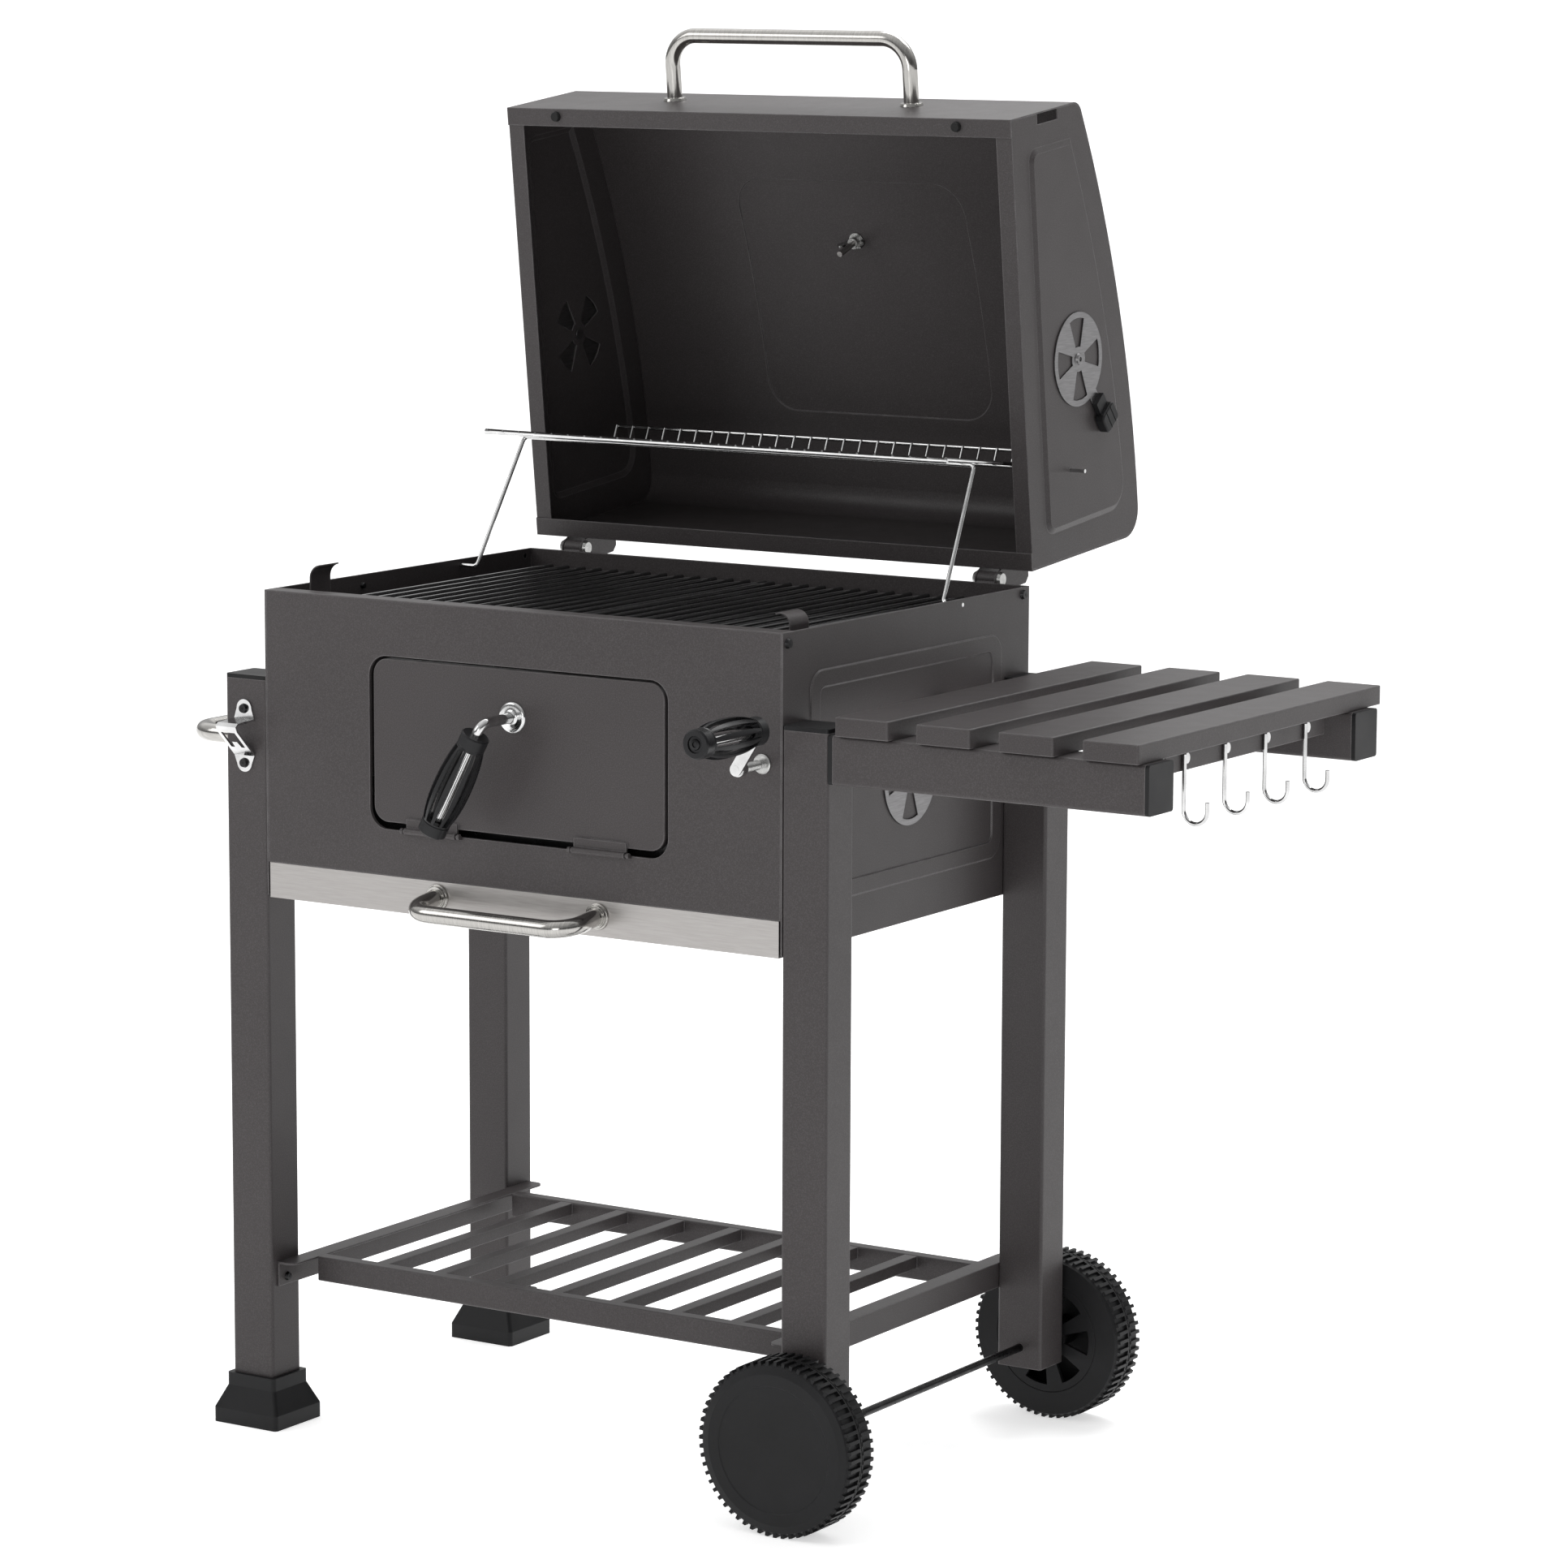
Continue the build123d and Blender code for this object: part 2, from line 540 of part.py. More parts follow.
HOOK_RAIL_X = 663.0
HOOK_Y = (106.0, 183.0, 261.0, 341.0)
with BuildPart() as hook_rail:
    with Locations(at(HOOK_RAIL_X - 1, 223, 740.4)):
        Box(2, 308, 19.2)
    with Locations(at(HOOK_RAIL_X - 7, 223, 749)):
        Box(14, 308, 2)
    with BuildSketch(side(HOOK_RAIL_X + 1, 0, 741.7)):
        with Locations([(hook_y, 0) for hook_y in HOOK_Y]):
            Circle(2.1)
    extrude(amount=-4, mode=Mode.SUBTRACT)
save(hook_rail, "hook_rail")

HOOK_WIRE = 2.0
with BuildPart() as hooks:
    for hook_y in HOOK_Y:
        hook_x = HOOK_RAIL_X + HOOK_WIRE + 0.2
        hook_points = [(hook_x, 746), (hook_x, 683.5), (hook_x + 24, 683.5), (hook_x + 24, 704)]
        add(bent_rod([at(x, hook_y - 6.5, z) for x, z in hook_points], 11.9, HOOK_WIRE))
        with BuildSketch(side(HOOK_RAIL_X + 0.2, hook_y, 741.7)):
            Circle(4.9)
        extrude(amount=1.6)
        with BuildSketch(side(HOOK_RAIL_X + 0.2, hook_y, 741.7)):
            Circle(2.0)
        extrude(amount=-5)
save(hooks, "hooks")

# ---- black pan-head screws of the fixed frame -----------------------------------------------------
SCREWS = (
    [(side(hand * HALF_W, *spot), hand, 5.0) for hand in (-1, 1) for spot in PANEL_SCREWS]
    + [(side(hand * (HALF_W - 2), *spot), -hand, 4.5) for hand in (-1, 1) for spot in RAIL_SCREWS]
    + [(front(-OPENER_T, OPENER_X, z), 1, 5.0) for z in OPENER_SCREW_Z]
    + [(side(SHEET - HALF_W, *INNER_STUD), 1, 3.4)]
)
with BuildPart() as frame_screws:
    for plane, facing, head_r in SCREWS:
        with BuildSketch(plane):
            Circle(head_r)
        extrude(amount=facing * 3, taper=18)
        with BuildSketch(plane):
            Circle(SCREW_R)
        extrude(amount=-facing * 1.4)
save(frame_screws, "frame_screws")

# ---- charcoal door ------------------------------------------------------------------------------
DOOR_HALF_W = 169.0
DOOR_PANEL_Z0 = 623.8
DOOR_PANEL_Z1 = 783.0
DOOR_FACE_Y = 0.8         # the door sits a little behind the front panel's face
DOOR_HINGE = (-3.4, 617.5)
KNOB = (-4.5, 737.6)      # x, z of the door handle's shaft

with BuildPart() as charcoal_door:
    door_middle = (0, (DOOR_PANEL_Z0 + DOOR_PANEL_Z1) / 2)
    with BuildSketch(front(DOOR_FACE_Y)):
        with Locations(door_middle):
            RectangleRounded(2 * DOOR_HALF_W, DOOR_PANEL_Z1 - DOOR_PANEL_Z0, 16)
    extrude(amount=-9)
    with BuildSketch(front(DOOR_FACE_Y + SHEET)):
        with Locations(door_middle):
            RectangleRounded(2 * (DOOR_HALF_W - SHEET), DOOR_PANEL_Z1 - DOOR_PANEL_Z0 - 2 * SHEET, 14.5)
    extrude(amount=-9, mode=Mode.SUBTRACT)
    fillet(charcoal_door.faces().sort_by(Axis.Y)[0].edges(), radius=1)
    with BuildSketch(front(-1, *KNOB)):
        Circle(5.0 + RUNNING)
    extrude(amount=-6, mode=Mode.SUBTRACT)
    for tab_x in (-99, 97):
        with BuildSketch(side(tab_x, *DOOR_HINGE)):
            Circle(3.2)
            with Locations((3.2, 5.9)):
                Rectangle(2.6, 11.8)
            Rectangle(5, 3, align=(Align.MIN, Align.MIN))
            Circle(1.6 + RUNNING, mode=Mode.SUBTRACT)
        extrude(amount=30, both=True)
save(charcoal_door, "charcoal_door")

with BuildPart() as door_hinge_pins:
    for tab_x in (-99, 97):
        with BuildSketch(side(tab_x, *DOOR_HINGE)):
            Circle(1.6)
        extrude(amount=34.5, both=True)
        for hand in (-1, 1):
            with BuildSketch(side(tab_x + hand * 32.4, *DOOR_HINGE)):
                Circle(2.8)
                with Locations((0, -1.4)):
                    Rectangle(3.4, 2.8, align=(Align.MIN, Align.CENTER))
            extrude(amount=hand * 2.4)
save(door_hinge_pins, "door_hinge_pins")

with BuildPart() as door_rosette:
    with BuildSketch(side(KNOB[0])):
        with BuildLine():
            rosette_curve = Spline((DOOR_FACE_Y, KNOB[1] + 15.5), (-1.6, KNOB[1] + 14.2),
                                   (-2.6, KNOB[1] + 9), (-4.6, KNOB[1] + 5.2))
            Polyline(rosette_curve @ 1, (-3.2, KNOB[1] + 5.2), (DOOR_FACE_Y, KNOB[1] + 8),
                     rosette_curve @ 0)
        make_face()
    revolve(axis=Axis(at(KNOB[0], 0, KNOB[1]), (0, 1, 0)))
save(door_rosette, "door_rosette")

HANG = radians(28.4)      # the handle hangs this far from straight down, towards the left
HANG_DIR = Vector(-sin(HANG), 0, -cos(HANG))
ROD_OUT = -50.0           # y of the hanging part
GRIP_START = 13.0         # from the shaft's axis to the grip's collar
GRIP_LENGTH = 111.0
GRIP_ROD_R = 5.0


def cage_grip(base, bore_r, length):
    """A barrel-shaped cage of ten ribs between two collars, drawn up from its base plane."""
    turning = Plane(origin=base.origin, x_dir=base.x_dir, z_dir=-base.y_dir)
    cage_end = length - 12
    with BuildPart() as grip:
        with BuildSketch(turning):
            with BuildLine():
                outside = Spline((13.3, 12), (17, 0.29 * length), (18.4, 0.52 * length),
                                 (17, 0.74 * length), (13.3, cage_end))
                Polyline(outside @ 1, (13.9, cage_end), (13.9, length - 1.5), (12.4, length),
                         (8, length), (8, length - 5), (bore_r, length - 5), (bore_r, cage_end),
                         (bore_r + 4, cage_end - 5))
                inside = Spline((bore_r + 4, cage_end - 5), (13.2, 0.74 * length),
                                (14.4, 0.52 * length), (13.2, 0.29 * length), (bore_r + 4, 17))
                Polyline(inside @ 1, (bore_r, 12), (bore_r, 0), (12.8, 0), (13.8, 1), (13.8, 12),
                         outside @ 0)
            make_face()
        revolve(axis=Axis(base.origin, base.z_dir))
        with BuildSketch(base.offset(14.5)):
            with PolarLocations(14, 10):
                Rectangle(14, 6.2)
        extrude(amount=cage_end - 17, mode=Mode.SUBTRACT)
    return grip.part


rod_elbow = Vector(*at(KNOB[0], ROD_OUT, KNOB[1]))
rod_end = rod_elbow + HANG_DIR * (GRIP_START + GRIP_LENGTH - 4.7)
with BuildPart() as door_handle_rod:
    add(bent_rod([at(KNOB[0], 12.9, KNOB[1]), rod_elbow, rod_end], 11, GRIP_ROD_R))
    rod_tip = Plane(origin=rod_end, x_dir=(0, 1, 0), z_dir=HANG_DIR)
    with BuildSketch(rod_tip):
        Circle(7.2)
    extrude(amount=1.5)
    with BuildSketch(rod_tip.offset(1.5)):
        Circle(4)
    extrude(amount=2.2, taper=25)
    # The latch tongue behind the door points sideways while the door is free to open.
    with BuildSketch(front(10.4, *KNOB)):
        Circle(9)
        with Locations((27, 0)):
            SlotOverall(66, 12)
    extrude(amount=-2.5)
save(door_handle_rod, "door_handle_rod")

with BuildPart() as door_handle_grip:
    grip_base = Plane(origin=rod_elbow + HANG_DIR * GRIP_START, x_dir=(0, 1, 0), z_dir=HANG_DIR)
    add(cage_grip(grip_base, GRIP_ROD_R + 0.05, GRIP_LENGTH))
save(door_handle_grip, "door_handle_grip")

# ---- crank --------------------------------------------------------------------------------------
CRANK_ARM_Y = -42.0       # back face of the crank arm
PIN_X = CRANK_X + CRANK_ARM[0]
PIN_Z = CRANK_Z + CRANK_ARM[1]
SPINDLE_END_Y = 125.0
CRANK_GRIP_LENGTH = 103.0
CRANK_PIN = CRANK_GRIP_LENGTH - 4.2   # from the arm to the washer that holds the grip

with BuildPart() as crank_bush:
    with BuildSketch(front(0, CRANK_X, CRANK_Z)):
        Circle(9.5)
        Circle(AXLE_R + RUNNING, mode=Mode.SUBTRACT)
    extrude(amount=2.5)
    with BuildSketch(front(0, CRANK_X, CRANK_Z)):
        Circle(6.9)
        Circle(AXLE_R + RUNNING, mode=Mode.SUBTRACT)
    extrude(amount=-6)
    chamfer(crank_bush.faces().sort_by(Axis.Y)[0].outer_wire().edges(), length=1)
save(crank_bush, "crank_bush")

with BuildPart() as crank:
    with BuildSketch(front(SPINDLE_END_Y, CRANK_X, CRANK_Z)):
        Circle(AXLE_R)
    extrude(amount=SPINDLE_END_Y - CRANK_ARM_Y + 3.6)
    for collar_y, collar_t in ((10.4, 4), (CRANK_ARM_Y + 8, 8)):
        with BuildSketch(front(collar_y, CRANK_X, CRANK_Z)):
            Circle(7)
        extrude(amount=collar_t)
    arm_angle = degrees(atan2(CRANK_ARM[1], CRANK_ARM[0]))
    arm_length = hypot(*CRANK_ARM)
    with BuildSketch(front(CRANK_ARM_Y, (CRANK_X + PIN_X) / 2, (CRANK_Z + PIN_Z) / 2)):
        SlotOverall(arm_length + 12, 12, rotation=arm_angle)
    extrude(amount=3.5)
    with BuildSketch(front(CRANK_ARM_Y, PIN_X, PIN_Z)):
        Circle(GRIP_ROD_R)
    extrude(amount=3.5 + CRANK_PIN)
    with BuildSketch(front(CRANK_ARM_Y - 3.5 - CRANK_PIN, PIN_X, PIN_Z)):
        Circle(7.2)
    extrude(amount=1.5)
    with BuildSketch(front(CRANK_ARM_Y - 5 - CRANK_PIN, PIN_X, PIN_Z)):
        Circle(4)
    extrude(amount=2.2, taper=25)
save(crank, "crank")

with BuildPart() as crank_grip:
    crank_grip_base = front(CRANK_ARM_Y - 3.5 - 0.5, PIN_X, PIN_Z)
    add(cage_grip(crank_grip_base, GRIP_ROD_R + RUNNING, CRANK_GRIP_LENGTH))
save(crank_grip, "crank_grip")

# ---- charcoal pan and its lift ------------------------------------------------------------------

with BuildPart() as charcoal_pan:
    with Locations(at(0, sum(PAN_Y) / 2, PAN_Z + PAN_H / 2)):
        Box(2 * PAN_X, PAN_Y[1] - PAN_Y[0], PAN_H)
    fillet(charcoal_pan.edges().filter_by(Axis.Z), radius=12)
    offset(amount=-SHEET, openings=charcoal_pan.faces().sort_by(Axis.Z)[-1])
    with BuildSketch(level(PAN_Z - 1)):
        with Locations((0, sum(PAN_Y) / 2)):
            with GridLocations(60, 60, 8, 6):
                SlotOverall(30, 7)
    extrude(amount=4, mode=Mode.SUBTRACT)
save(charcoal_pan, "charcoal_pan")

lever_dy = LIFT_LEVER * sin(radians(LIFT_TILT))
lever_dz = LIFT_LEVER * cos(radians(LIFT_TILT))
for rod_name, pivot_y in zip(("front_lift_rod", "rear_lift_rod"), LIFT_PIVOT_Y):
    carry_y = pivot_y + LIFT_ARM * cos(radians(LIFT_TILT))
    carry_z = LIFT_PIVOT_Z - LIFT_ARM * sin(radians(LIFT_TILT))
    lift_points = [
        at(-HALF_W + 2, pivot_y, LIFT_PIVOT_Z), at(-LIFT_X, pivot_y, LIFT_PIVOT_Z),
        at(-LIFT_X, carry_y, carry_z), at(LIFT_X, carry_y, carry_z),
        at(LIFT_X, pivot_y, LIFT_PIVOT_Z), at(HALF_W - 2, pivot_y, LIFT_PIVOT_Z),
    ]
    with BuildPart() as lift_rod:
        add(bent_rod(lift_points, 5, LIFT_R))
        with BuildSketch(side(LEVER_X, pivot_y + lever_dy / 2, LIFT_PIVOT_Z + lever_dz / 2)):
            SlotOverall(LIFT_LEVER + 14, 14, rotation=90 - LIFT_TILT)
        extrude(amount=2.5)
        with BuildSketch(side(LEVER_X + 1, pivot_y + lever_dy, LIFT_PIVOT_Z + lever_dz)):
            Circle(3)
        extrude(amount=-(LEVER_X + 1 - CRANK_X + 4))
    save(lift_rod, rod_name)

BAR_Z = LIFT_PIVOT_Z + (LIFT_LEVER + lever_dz) / 2
NUT_Y = 110.0             # middle of the nut that the spindle turns in
BAR_Y = (LIFT_PIVOT_Y[0] + lever_dy - 14, LIFT_PIVOT_Y[1] + lever_dy + 14)
with BuildPart() as lift_bar:
    with BuildSketch(side(CRANK_X - 2)):
        with Locations((sum(BAR_Y) / 2, BAR_Z)):
            RectangleRounded(BAR_Y[1] - BAR_Y[0], 24, 6)
        with Locations((NUT_Y, (BAR_Z + CRANK_Z) / 2)):
            Rectangle(18, CRANK_Z - BAR_Z)
        with Locations([(pivot_y + lever_dy, BAR_Z) for pivot_y in LIFT_PIVOT_Y]):
            SlotOverall(15, 7.8, rotation=90, mode=Mode.SUBTRACT)
    extrude(amount=4)
    with BuildSketch(front(NUT_Y + 7, CRANK_X, CRANK_Z)):
        RectangleRounded(17, 17, 2)
    extrude(amount=14)
    with BuildSketch(front(NUT_Y + 20, CRANK_X, CRANK_Z)):
        Circle(AXLE_R + RUNNING)
    extrude(amount=40, mode=Mode.SUBTRACT)
save(lift_bar, "lift_bar")

# ---- cooking grates -----------------------------------------------------------------------------
GRATE_R = 2.75
GRATE_Z = 823.2
GRATE_PITCH = 20.3
GRATE_RODS = 14
GRATE_HALF = GRATE_PITCH * (GRATE_RODS - 1) / 2
for grate_name, hand in (("cooking_grate_left", -1), ("cooking_grate_right", 1)):
    middle_x = hand * (4.75 + GRATE_HALF)
    with BuildPart() as grate:
        with BuildSketch(front(441, middle_x, GRATE_Z)):
            with GridLocations(GRATE_PITCH, 0, GRATE_RODS, 1):
                Circle(GRATE_R)
        extrude(amount=419)
        for bar_y in (27, 135, 254, 345, 437):
            with BuildSketch(side(middle_x, bar_y, GRATE_Z - 5.2)):
                Circle(GRATE_R)
            extrude(amount=GRATE_HALF + 1.5, both=True)
    save(grate, grate_name)

# ---- lid ----------------------------------------------------------------------------------------
TOP_ARC_MID = (230.0, 196.4)
GAUGE_U = 290.0
GAUGE_SLOPE = radians(14.3)
gauge_out = ALONG * sin(GAUGE_SLOPE) + ABOVE * cos(GAUGE_SLOPE)
gauge_plane = Plane(origin=lid_point(0, GAUGE_U, 185.0), x_dir=(1, 0, 0), z_dir=gauge_out)


def lid_face(inset, floor=0.0):
    """The lid's side outline set in from its outer face, with its lower edge raised to floor."""
    back_top = (inset - 6.0, LID_BACK_H - inset)
    front_top = (LID_DEPTH - inset, LID_FRONT_H - inset)
    with BuildSketch() as filled:
        with BuildLine():
            Line((inset, floor), back_top)
            ThreePointArc(back_top, (TOP_ARC_MID[0], TOP_ARC_MID[1] - inset), front_top)
            Line(front_top, (LID_DEPTH - inset, floor))
            Line((LID_DEPTH - inset, floor), (inset, floor))
        make_face()
        fillet(filled.vertices().sort_by(Axis.Y)[-1], radius=28 - inset)
        front_corner = filled.vertices().filter_by_position(Axis.X, 400, 450).sort_by(Axis.Y)[-1]
        fillet(front_corner, radius=16 - inset)
    return filled.sketch


EMBOSS_X = 137.5          # the raised field on the lid's top, half width
EMBOSS_U = (100.0, 355.0)


def raised_field(inset, margin):
    """The block under the raised field of the lid's top, out to its face less an inset."""
    with BuildPart() as field:
        with BuildSketch(lid_side()):
            add(lid_face(inset))
        extrude(amount=EMBOSS_X, both=True)
        with BuildSketch(lid_rim(300)):
            with Locations((0, sum(EMBOSS_U) / 2)):
                RectangleRounded(2 * (EMBOSS_X - margin), EMBOSS_U[1] - EMBOSS_U[0] - 2 * margin,
                                 35 - margin)
        extrude(amount=180, mode=Mode.INTERSECT)
    return field.part


with BuildPart() as lid_shell:
    with BuildSketch(lid_side()):
        add(lid_face(0))
    extrude(amount=LID_HALF_W, both=True)
    add(raised_field(-1.3, 0))
    with BuildSketch(lid_side()):
        add(lid_face(SHEET, floor=SHEET))
    extrude(amount=LID_HALF_W + 1, both=True, mode=Mode.SUBTRACT)
    add(raised_field(SHEET - 1.3, 1.5), mode=Mode.SUBTRACT)
    with BuildSketch(lid_rim(SHEET + 1)):
        with Locations((0, LID_DEPTH / 2)):
            Rectangle(2 * LID_HALF_W + 2, LID_DEPTH - 2 * RIM)
    extrude(amount=SHEET + 2, mode=Mode.SUBTRACT)
    with BuildSketch(gauge_plane):
        Circle(3.3)
    extrude(amount=-20, mode=Mode.SUBTRACT)
save(lid_shell, "lid_shell")

PANEL_X = LID_HALF_W - 0.1      # outer face of the lid's side panels
FIELD_H = 3.2             # how far the field stands out
FIELD_SLOPE = 5.5         # width of its sloping edge
LID_FIELD = ((29.0, 31.0), (28.0, 190.0), (412.0, 113.0), (412.0, 31.0))


def side_field(margin):
    """The raised field of a lid side panel, set in from its edge by a margin."""
    with BuildSketch() as field:
        with BuildLine():
            Line(LID_FIELD[0], LID_FIELD[1])
            ThreePointArc(LID_FIELD[1], (230, 164.5), LID_FIELD[2])
            Line(LID_FIELD[2], LID_FIELD[3])
            Line(LID_FIELD[3], LID_FIELD[0])
        make_face()
        offset(amount=-margin)
        fillet(field.vertices().sort_by(Axis.Y)[-1], radius=28 - margin)
        fillet(field.vertices().group_by(Axis.Y)[0], radius=14 - margin)
    return field.sketch


for panel_name, hand in (("lid_left_panel", -1), ("lid_right_panel", 1)):
    outer = lid_side(hand * PANEL_X)
    with BuildPart() as lid_panel:
        with BuildSketch(outer):
            add(lid_face(SHEET + 0.05, floor=SHEET + 0.05))
        extrude(amount=hand * SHEET)
        for margin, base, mode in ((0, PANEL_X, Mode.ADD), (1.2, PANEL_X - SHEET, Mode.SUBTRACT)):
            with BuildSketch(lid_side(hand * base)):
                add(side_field(margin))
            with BuildSketch(lid_side(hand * (base + FIELD_H))):
                add(side_field(margin + FIELD_SLOPE))
            loft(ruled=True, mode=mode)
        with BuildSketch(lid_rim(SHEET + 0.05 + SHEET)):
            with Locations((hand * (PANEL_X - RIM / 2), LID_DEPTH / 2)):
                Rectangle(RIM, LID_DEPTH - 2 * SHEET - 0.3)
        extrude(amount=SHEET)
        with BuildSketch(lid_side(hand * (PANEL_X + FIELD_H + 1))):
            with Locations(LID_VENT):
                add(vent_windows(45))
                Circle(RIVET_R)
            with Locations((LID_DEPTH - 6, 71)):
                Rectangle(11.5, 40)
        extrude(amount=hand * 10, mode=Mode.SUBTRACT)
        with BuildSketch(side(hand * (PANEL_X + FIELD_H + 1), *RACK_PIVOT)):
            Circle(2.0 + RUNNING)
        extrude(amount=-hand * 10, mode=Mode.SUBTRACT)
    save(lid_panel, panel_name)

LID_HANDLE_W = 75.0
with BuildPart() as lid_handle:
    handle_corners = ((-141, 0), (-141, 66), (141, 66), (141, 0))
    add(bent_rod([lid_point(x, LID_DEPTH + rise, LID_HANDLE_W) for x, rise in handle_corners], 30, 7.7))
    for handle_x in (-141, 141):
        with BuildSketch(lid_front(LID_DEPTH)):
            with Locations((handle_x, LID_HANDLE_W)):
                Circle(12)
        extrude(amount=3, taper=20)
save(lid_handle, "lid_handle")

with BuildPart() as lid_bumpers:
    for bumper_x in (-237, 237):
        with BuildSketch(lid_rim(0)):
            with Locations((bumper_x, LID_DEPTH - 8)):
                Circle(5.2)
        extrude(amount=3.8, taper=12)
save(lid_bumpers, "lid_bumpers")

with BuildPart() as thermometer:
    with BuildSketch(gauge_plane):
        Circle(31)
    extrude(amount=11)
    fillet(thermometer.faces().sort_by(Axis(gauge_plane.origin, gauge_out))[-1].edges(), radius=2)
    with BuildSketch(gauge_plane.offset(12)):
        Circle(26.5)
    extrude(amount=-2.4, mode=Mode.SUBTRACT)
    with BuildSketch(gauge_plane):
        Circle(3)
    extrude(amount=-38)
save(thermometer, "thermometer")

with BuildPart() as thermometer_nut:
    with BuildSketch(gauge_plane.offset(-1.8)):
        Circle(8.5)
    extrude(amount=-1.6)
    with BuildSketch(gauge_plane.offset(-3.2)):
        Circle(6)
    extrude(amount=-8)
    with BuildSketch(Plane(origin=gauge_plane.origin, x_dir=(1, 0, 0), z_dir=gauge_plane.y_dir)):
        for hand in (-1, 1):
            with Locations((hand * 9, 13)):
                SlotOverall(14, 8, rotation=hand * 55)
    extrude(amount=1.2, both=True)
    with BuildSketch(gauge_plane.offset(5)):
        Circle(3.02)
    extrude(amount=-50, mode=Mode.SUBTRACT)
save(thermometer_nut, "thermometer_nut")

# ---- air vent discs and their knobs -------------------------------------------------------------
DISC_T = 1.2
KNOB_H = 9.5
VENTS = {
    "lid_left_vent": (lid_side(-LID_HALF_W - FIELD_H - 0.3), LID_VENT, 1, 146.8),
    "lid_right_vent": (lid_side(LID_HALF_W + FIELD_H + 0.3), LID_VENT, -1, 146.8),
    "firebox_left_vent": (side(-HALF_W - 0.4), SIDE_VENT, -1, 45),
    "firebox_right_vent": (side(HALF_W + 0.4), SIDE_VENT, 1, 45),
}
for vent_name, (vent_plane, vent_middle, outward, lever_angle) in VENTS.items():
    lever = Vector(cos(radians(lever_angle)), sin(radians(lever_angle)))
    neck_middle = lever * 56 + Vector(*vent_middle)
    knob_middle = lever * 79 + Vector(*vent_middle)
    with BuildPart() as vent:
        with BuildSketch(vent_plane):
            with Locations(vent_middle):
                Circle(DISC_R)
            with Locations(neck_middle):
                Rectangle(32, 14, rotation=lever_angle)
            with Locations(vent_middle):
                add(vent_windows(0), mode=Mode.SUBTRACT)
        extrude(amount=outward * DISC_T)
        with BuildSketch(vent_plane.offset(outward * DISC_T)):
            with Locations(vent_middle):
                Circle(6)
        extrude(amount=outward * 2.2, taper=20)
        with BuildSketch(vent_plane.offset(outward * (DISC_T + 0.6))):
            with Locations(vent_middle):
                Circle(2.3)
        extrude(amount=outward * 4, mode=Mode.SUBTRACT)
        with BuildSketch(vent_plane):
            with Locations(vent_middle):
                Circle(RIVET_R - RUNNING)
        extrude(amount=-outward * 3.5)
        with BuildSketch(vent_plane.offset(-outward * 2.3)):
            with Locations(vent_middle):
                Circle(6)
        extrude(amount=-outward * 1.2)
    save(vent, vent_name)
    with BuildPart() as vent_knob:
        with BuildSketch(vent_plane.offset(outward * DISC_T)):
            with Locations(knob_middle):
                RectangleRounded(22, 27, 5, rotation=lever_angle)
        extrude(amount=outward * KNOB_H)
        knob_face = vent_knob.faces().sort_by(Axis.X)[-1 if "right" in vent_name else 0]
        fillet(knob_face.edges(), radius=2)
        for groove in (-4.5, 4.5):
            groove_middle = knob_middle + Vector(-lever.Y, lever.X) * groove
            with BuildSketch(vent_plane.offset(outward * (DISC_T + KNOB_H - 0.8))):
                with Locations(groove_middle):
                    Rectangle(30, 1.4, rotation=lever_angle)
            extrude(amount=outward * 3, mode=Mode.SUBTRACT)
        with BuildSketch(vent_plane.offset(outward * DISC_T)):
            with Locations(lever * 62 + Vector(*vent_middle)):
                Rectangle(16, 17, rotation=lever_angle)
        extrude(amount=outward * 5.5)
    save(vent_knob, f"{vent_name}_knob")

# ---- lid hinges ---------------------------------------------------------------------------------
HINGE_X = 249.0
CHEEK_R = 8.0
PIN_R = 3.0
PIN_U, PIN_W = -10.0, -1.3      # the pin in the lid's own directions
with BuildPart() as lid_hinge_brackets:
    for hinge_x in (-HINGE_X, HINGE_X):
        for cheek_x in (hinge_x - 10.5, hinge_x + 12.5):
            with BuildSketch(lid_side(cheek_x)):
                with Locations((PIN_U, PIN_W)):
                    Circle(CHEEK_R)
                with BuildLine():
                    Polyline((PIN_U - CHEEK_R, PIN_W), (PIN_U - CHEEK_R - 6, 12), (PIN_U - CHEEK_R - 6, 48),
                             (PIN_U - CHEEK_R, 54), (-1.6, 54), (-0.2, 3), (PIN_U + CHEEK_R, PIN_W),
                             close=True)
                make_face()
                with Locations((PIN_U, PIN_W)):
                    Circle(PIN_R + RUNNING, mode=Mode.SUBTRACT)
            extrude(amount=2)
        with BuildSketch(lid_side(hinge_x)):
            with BuildLine():
                Polyline((-0.4, 12), (-1.6, 54), (-3.6, 54), (-2.4, 12), close=True)
            make_face()
        extrude(amount=11, both=True)
save(lid_hinge_brackets, "lid_hinge_brackets")

with BuildPart() as body_hinge_brackets:
    for hinge_x in (-HINGE_X, HINGE_X):
        with BuildSketch(side(hinge_x)):
            with Locations((HINGE_Y, HINGE_Z)):
                Circle(7.2)
            with BuildLine():
                Polyline((DEPTH, 790), (DEPTH + 2.5, 790), (DEPTH + 2.5, 828), (HINGE_Y + 6, HINGE_Z - 4),
                         (HINGE_Y, HINGE_Z + 3), (DEPTH + 1, HINGE_Z - 3), (DEPTH, HINGE_Z - 6), close=True)
            make_face()
            with Locations((HINGE_Y, HINGE_Z)):
                Circle(PIN_R, mode=Mode.SUBTRACT)
        extrude(amount=10.1, both=True)
save(body_hinge_brackets, "body_hinge_brackets")

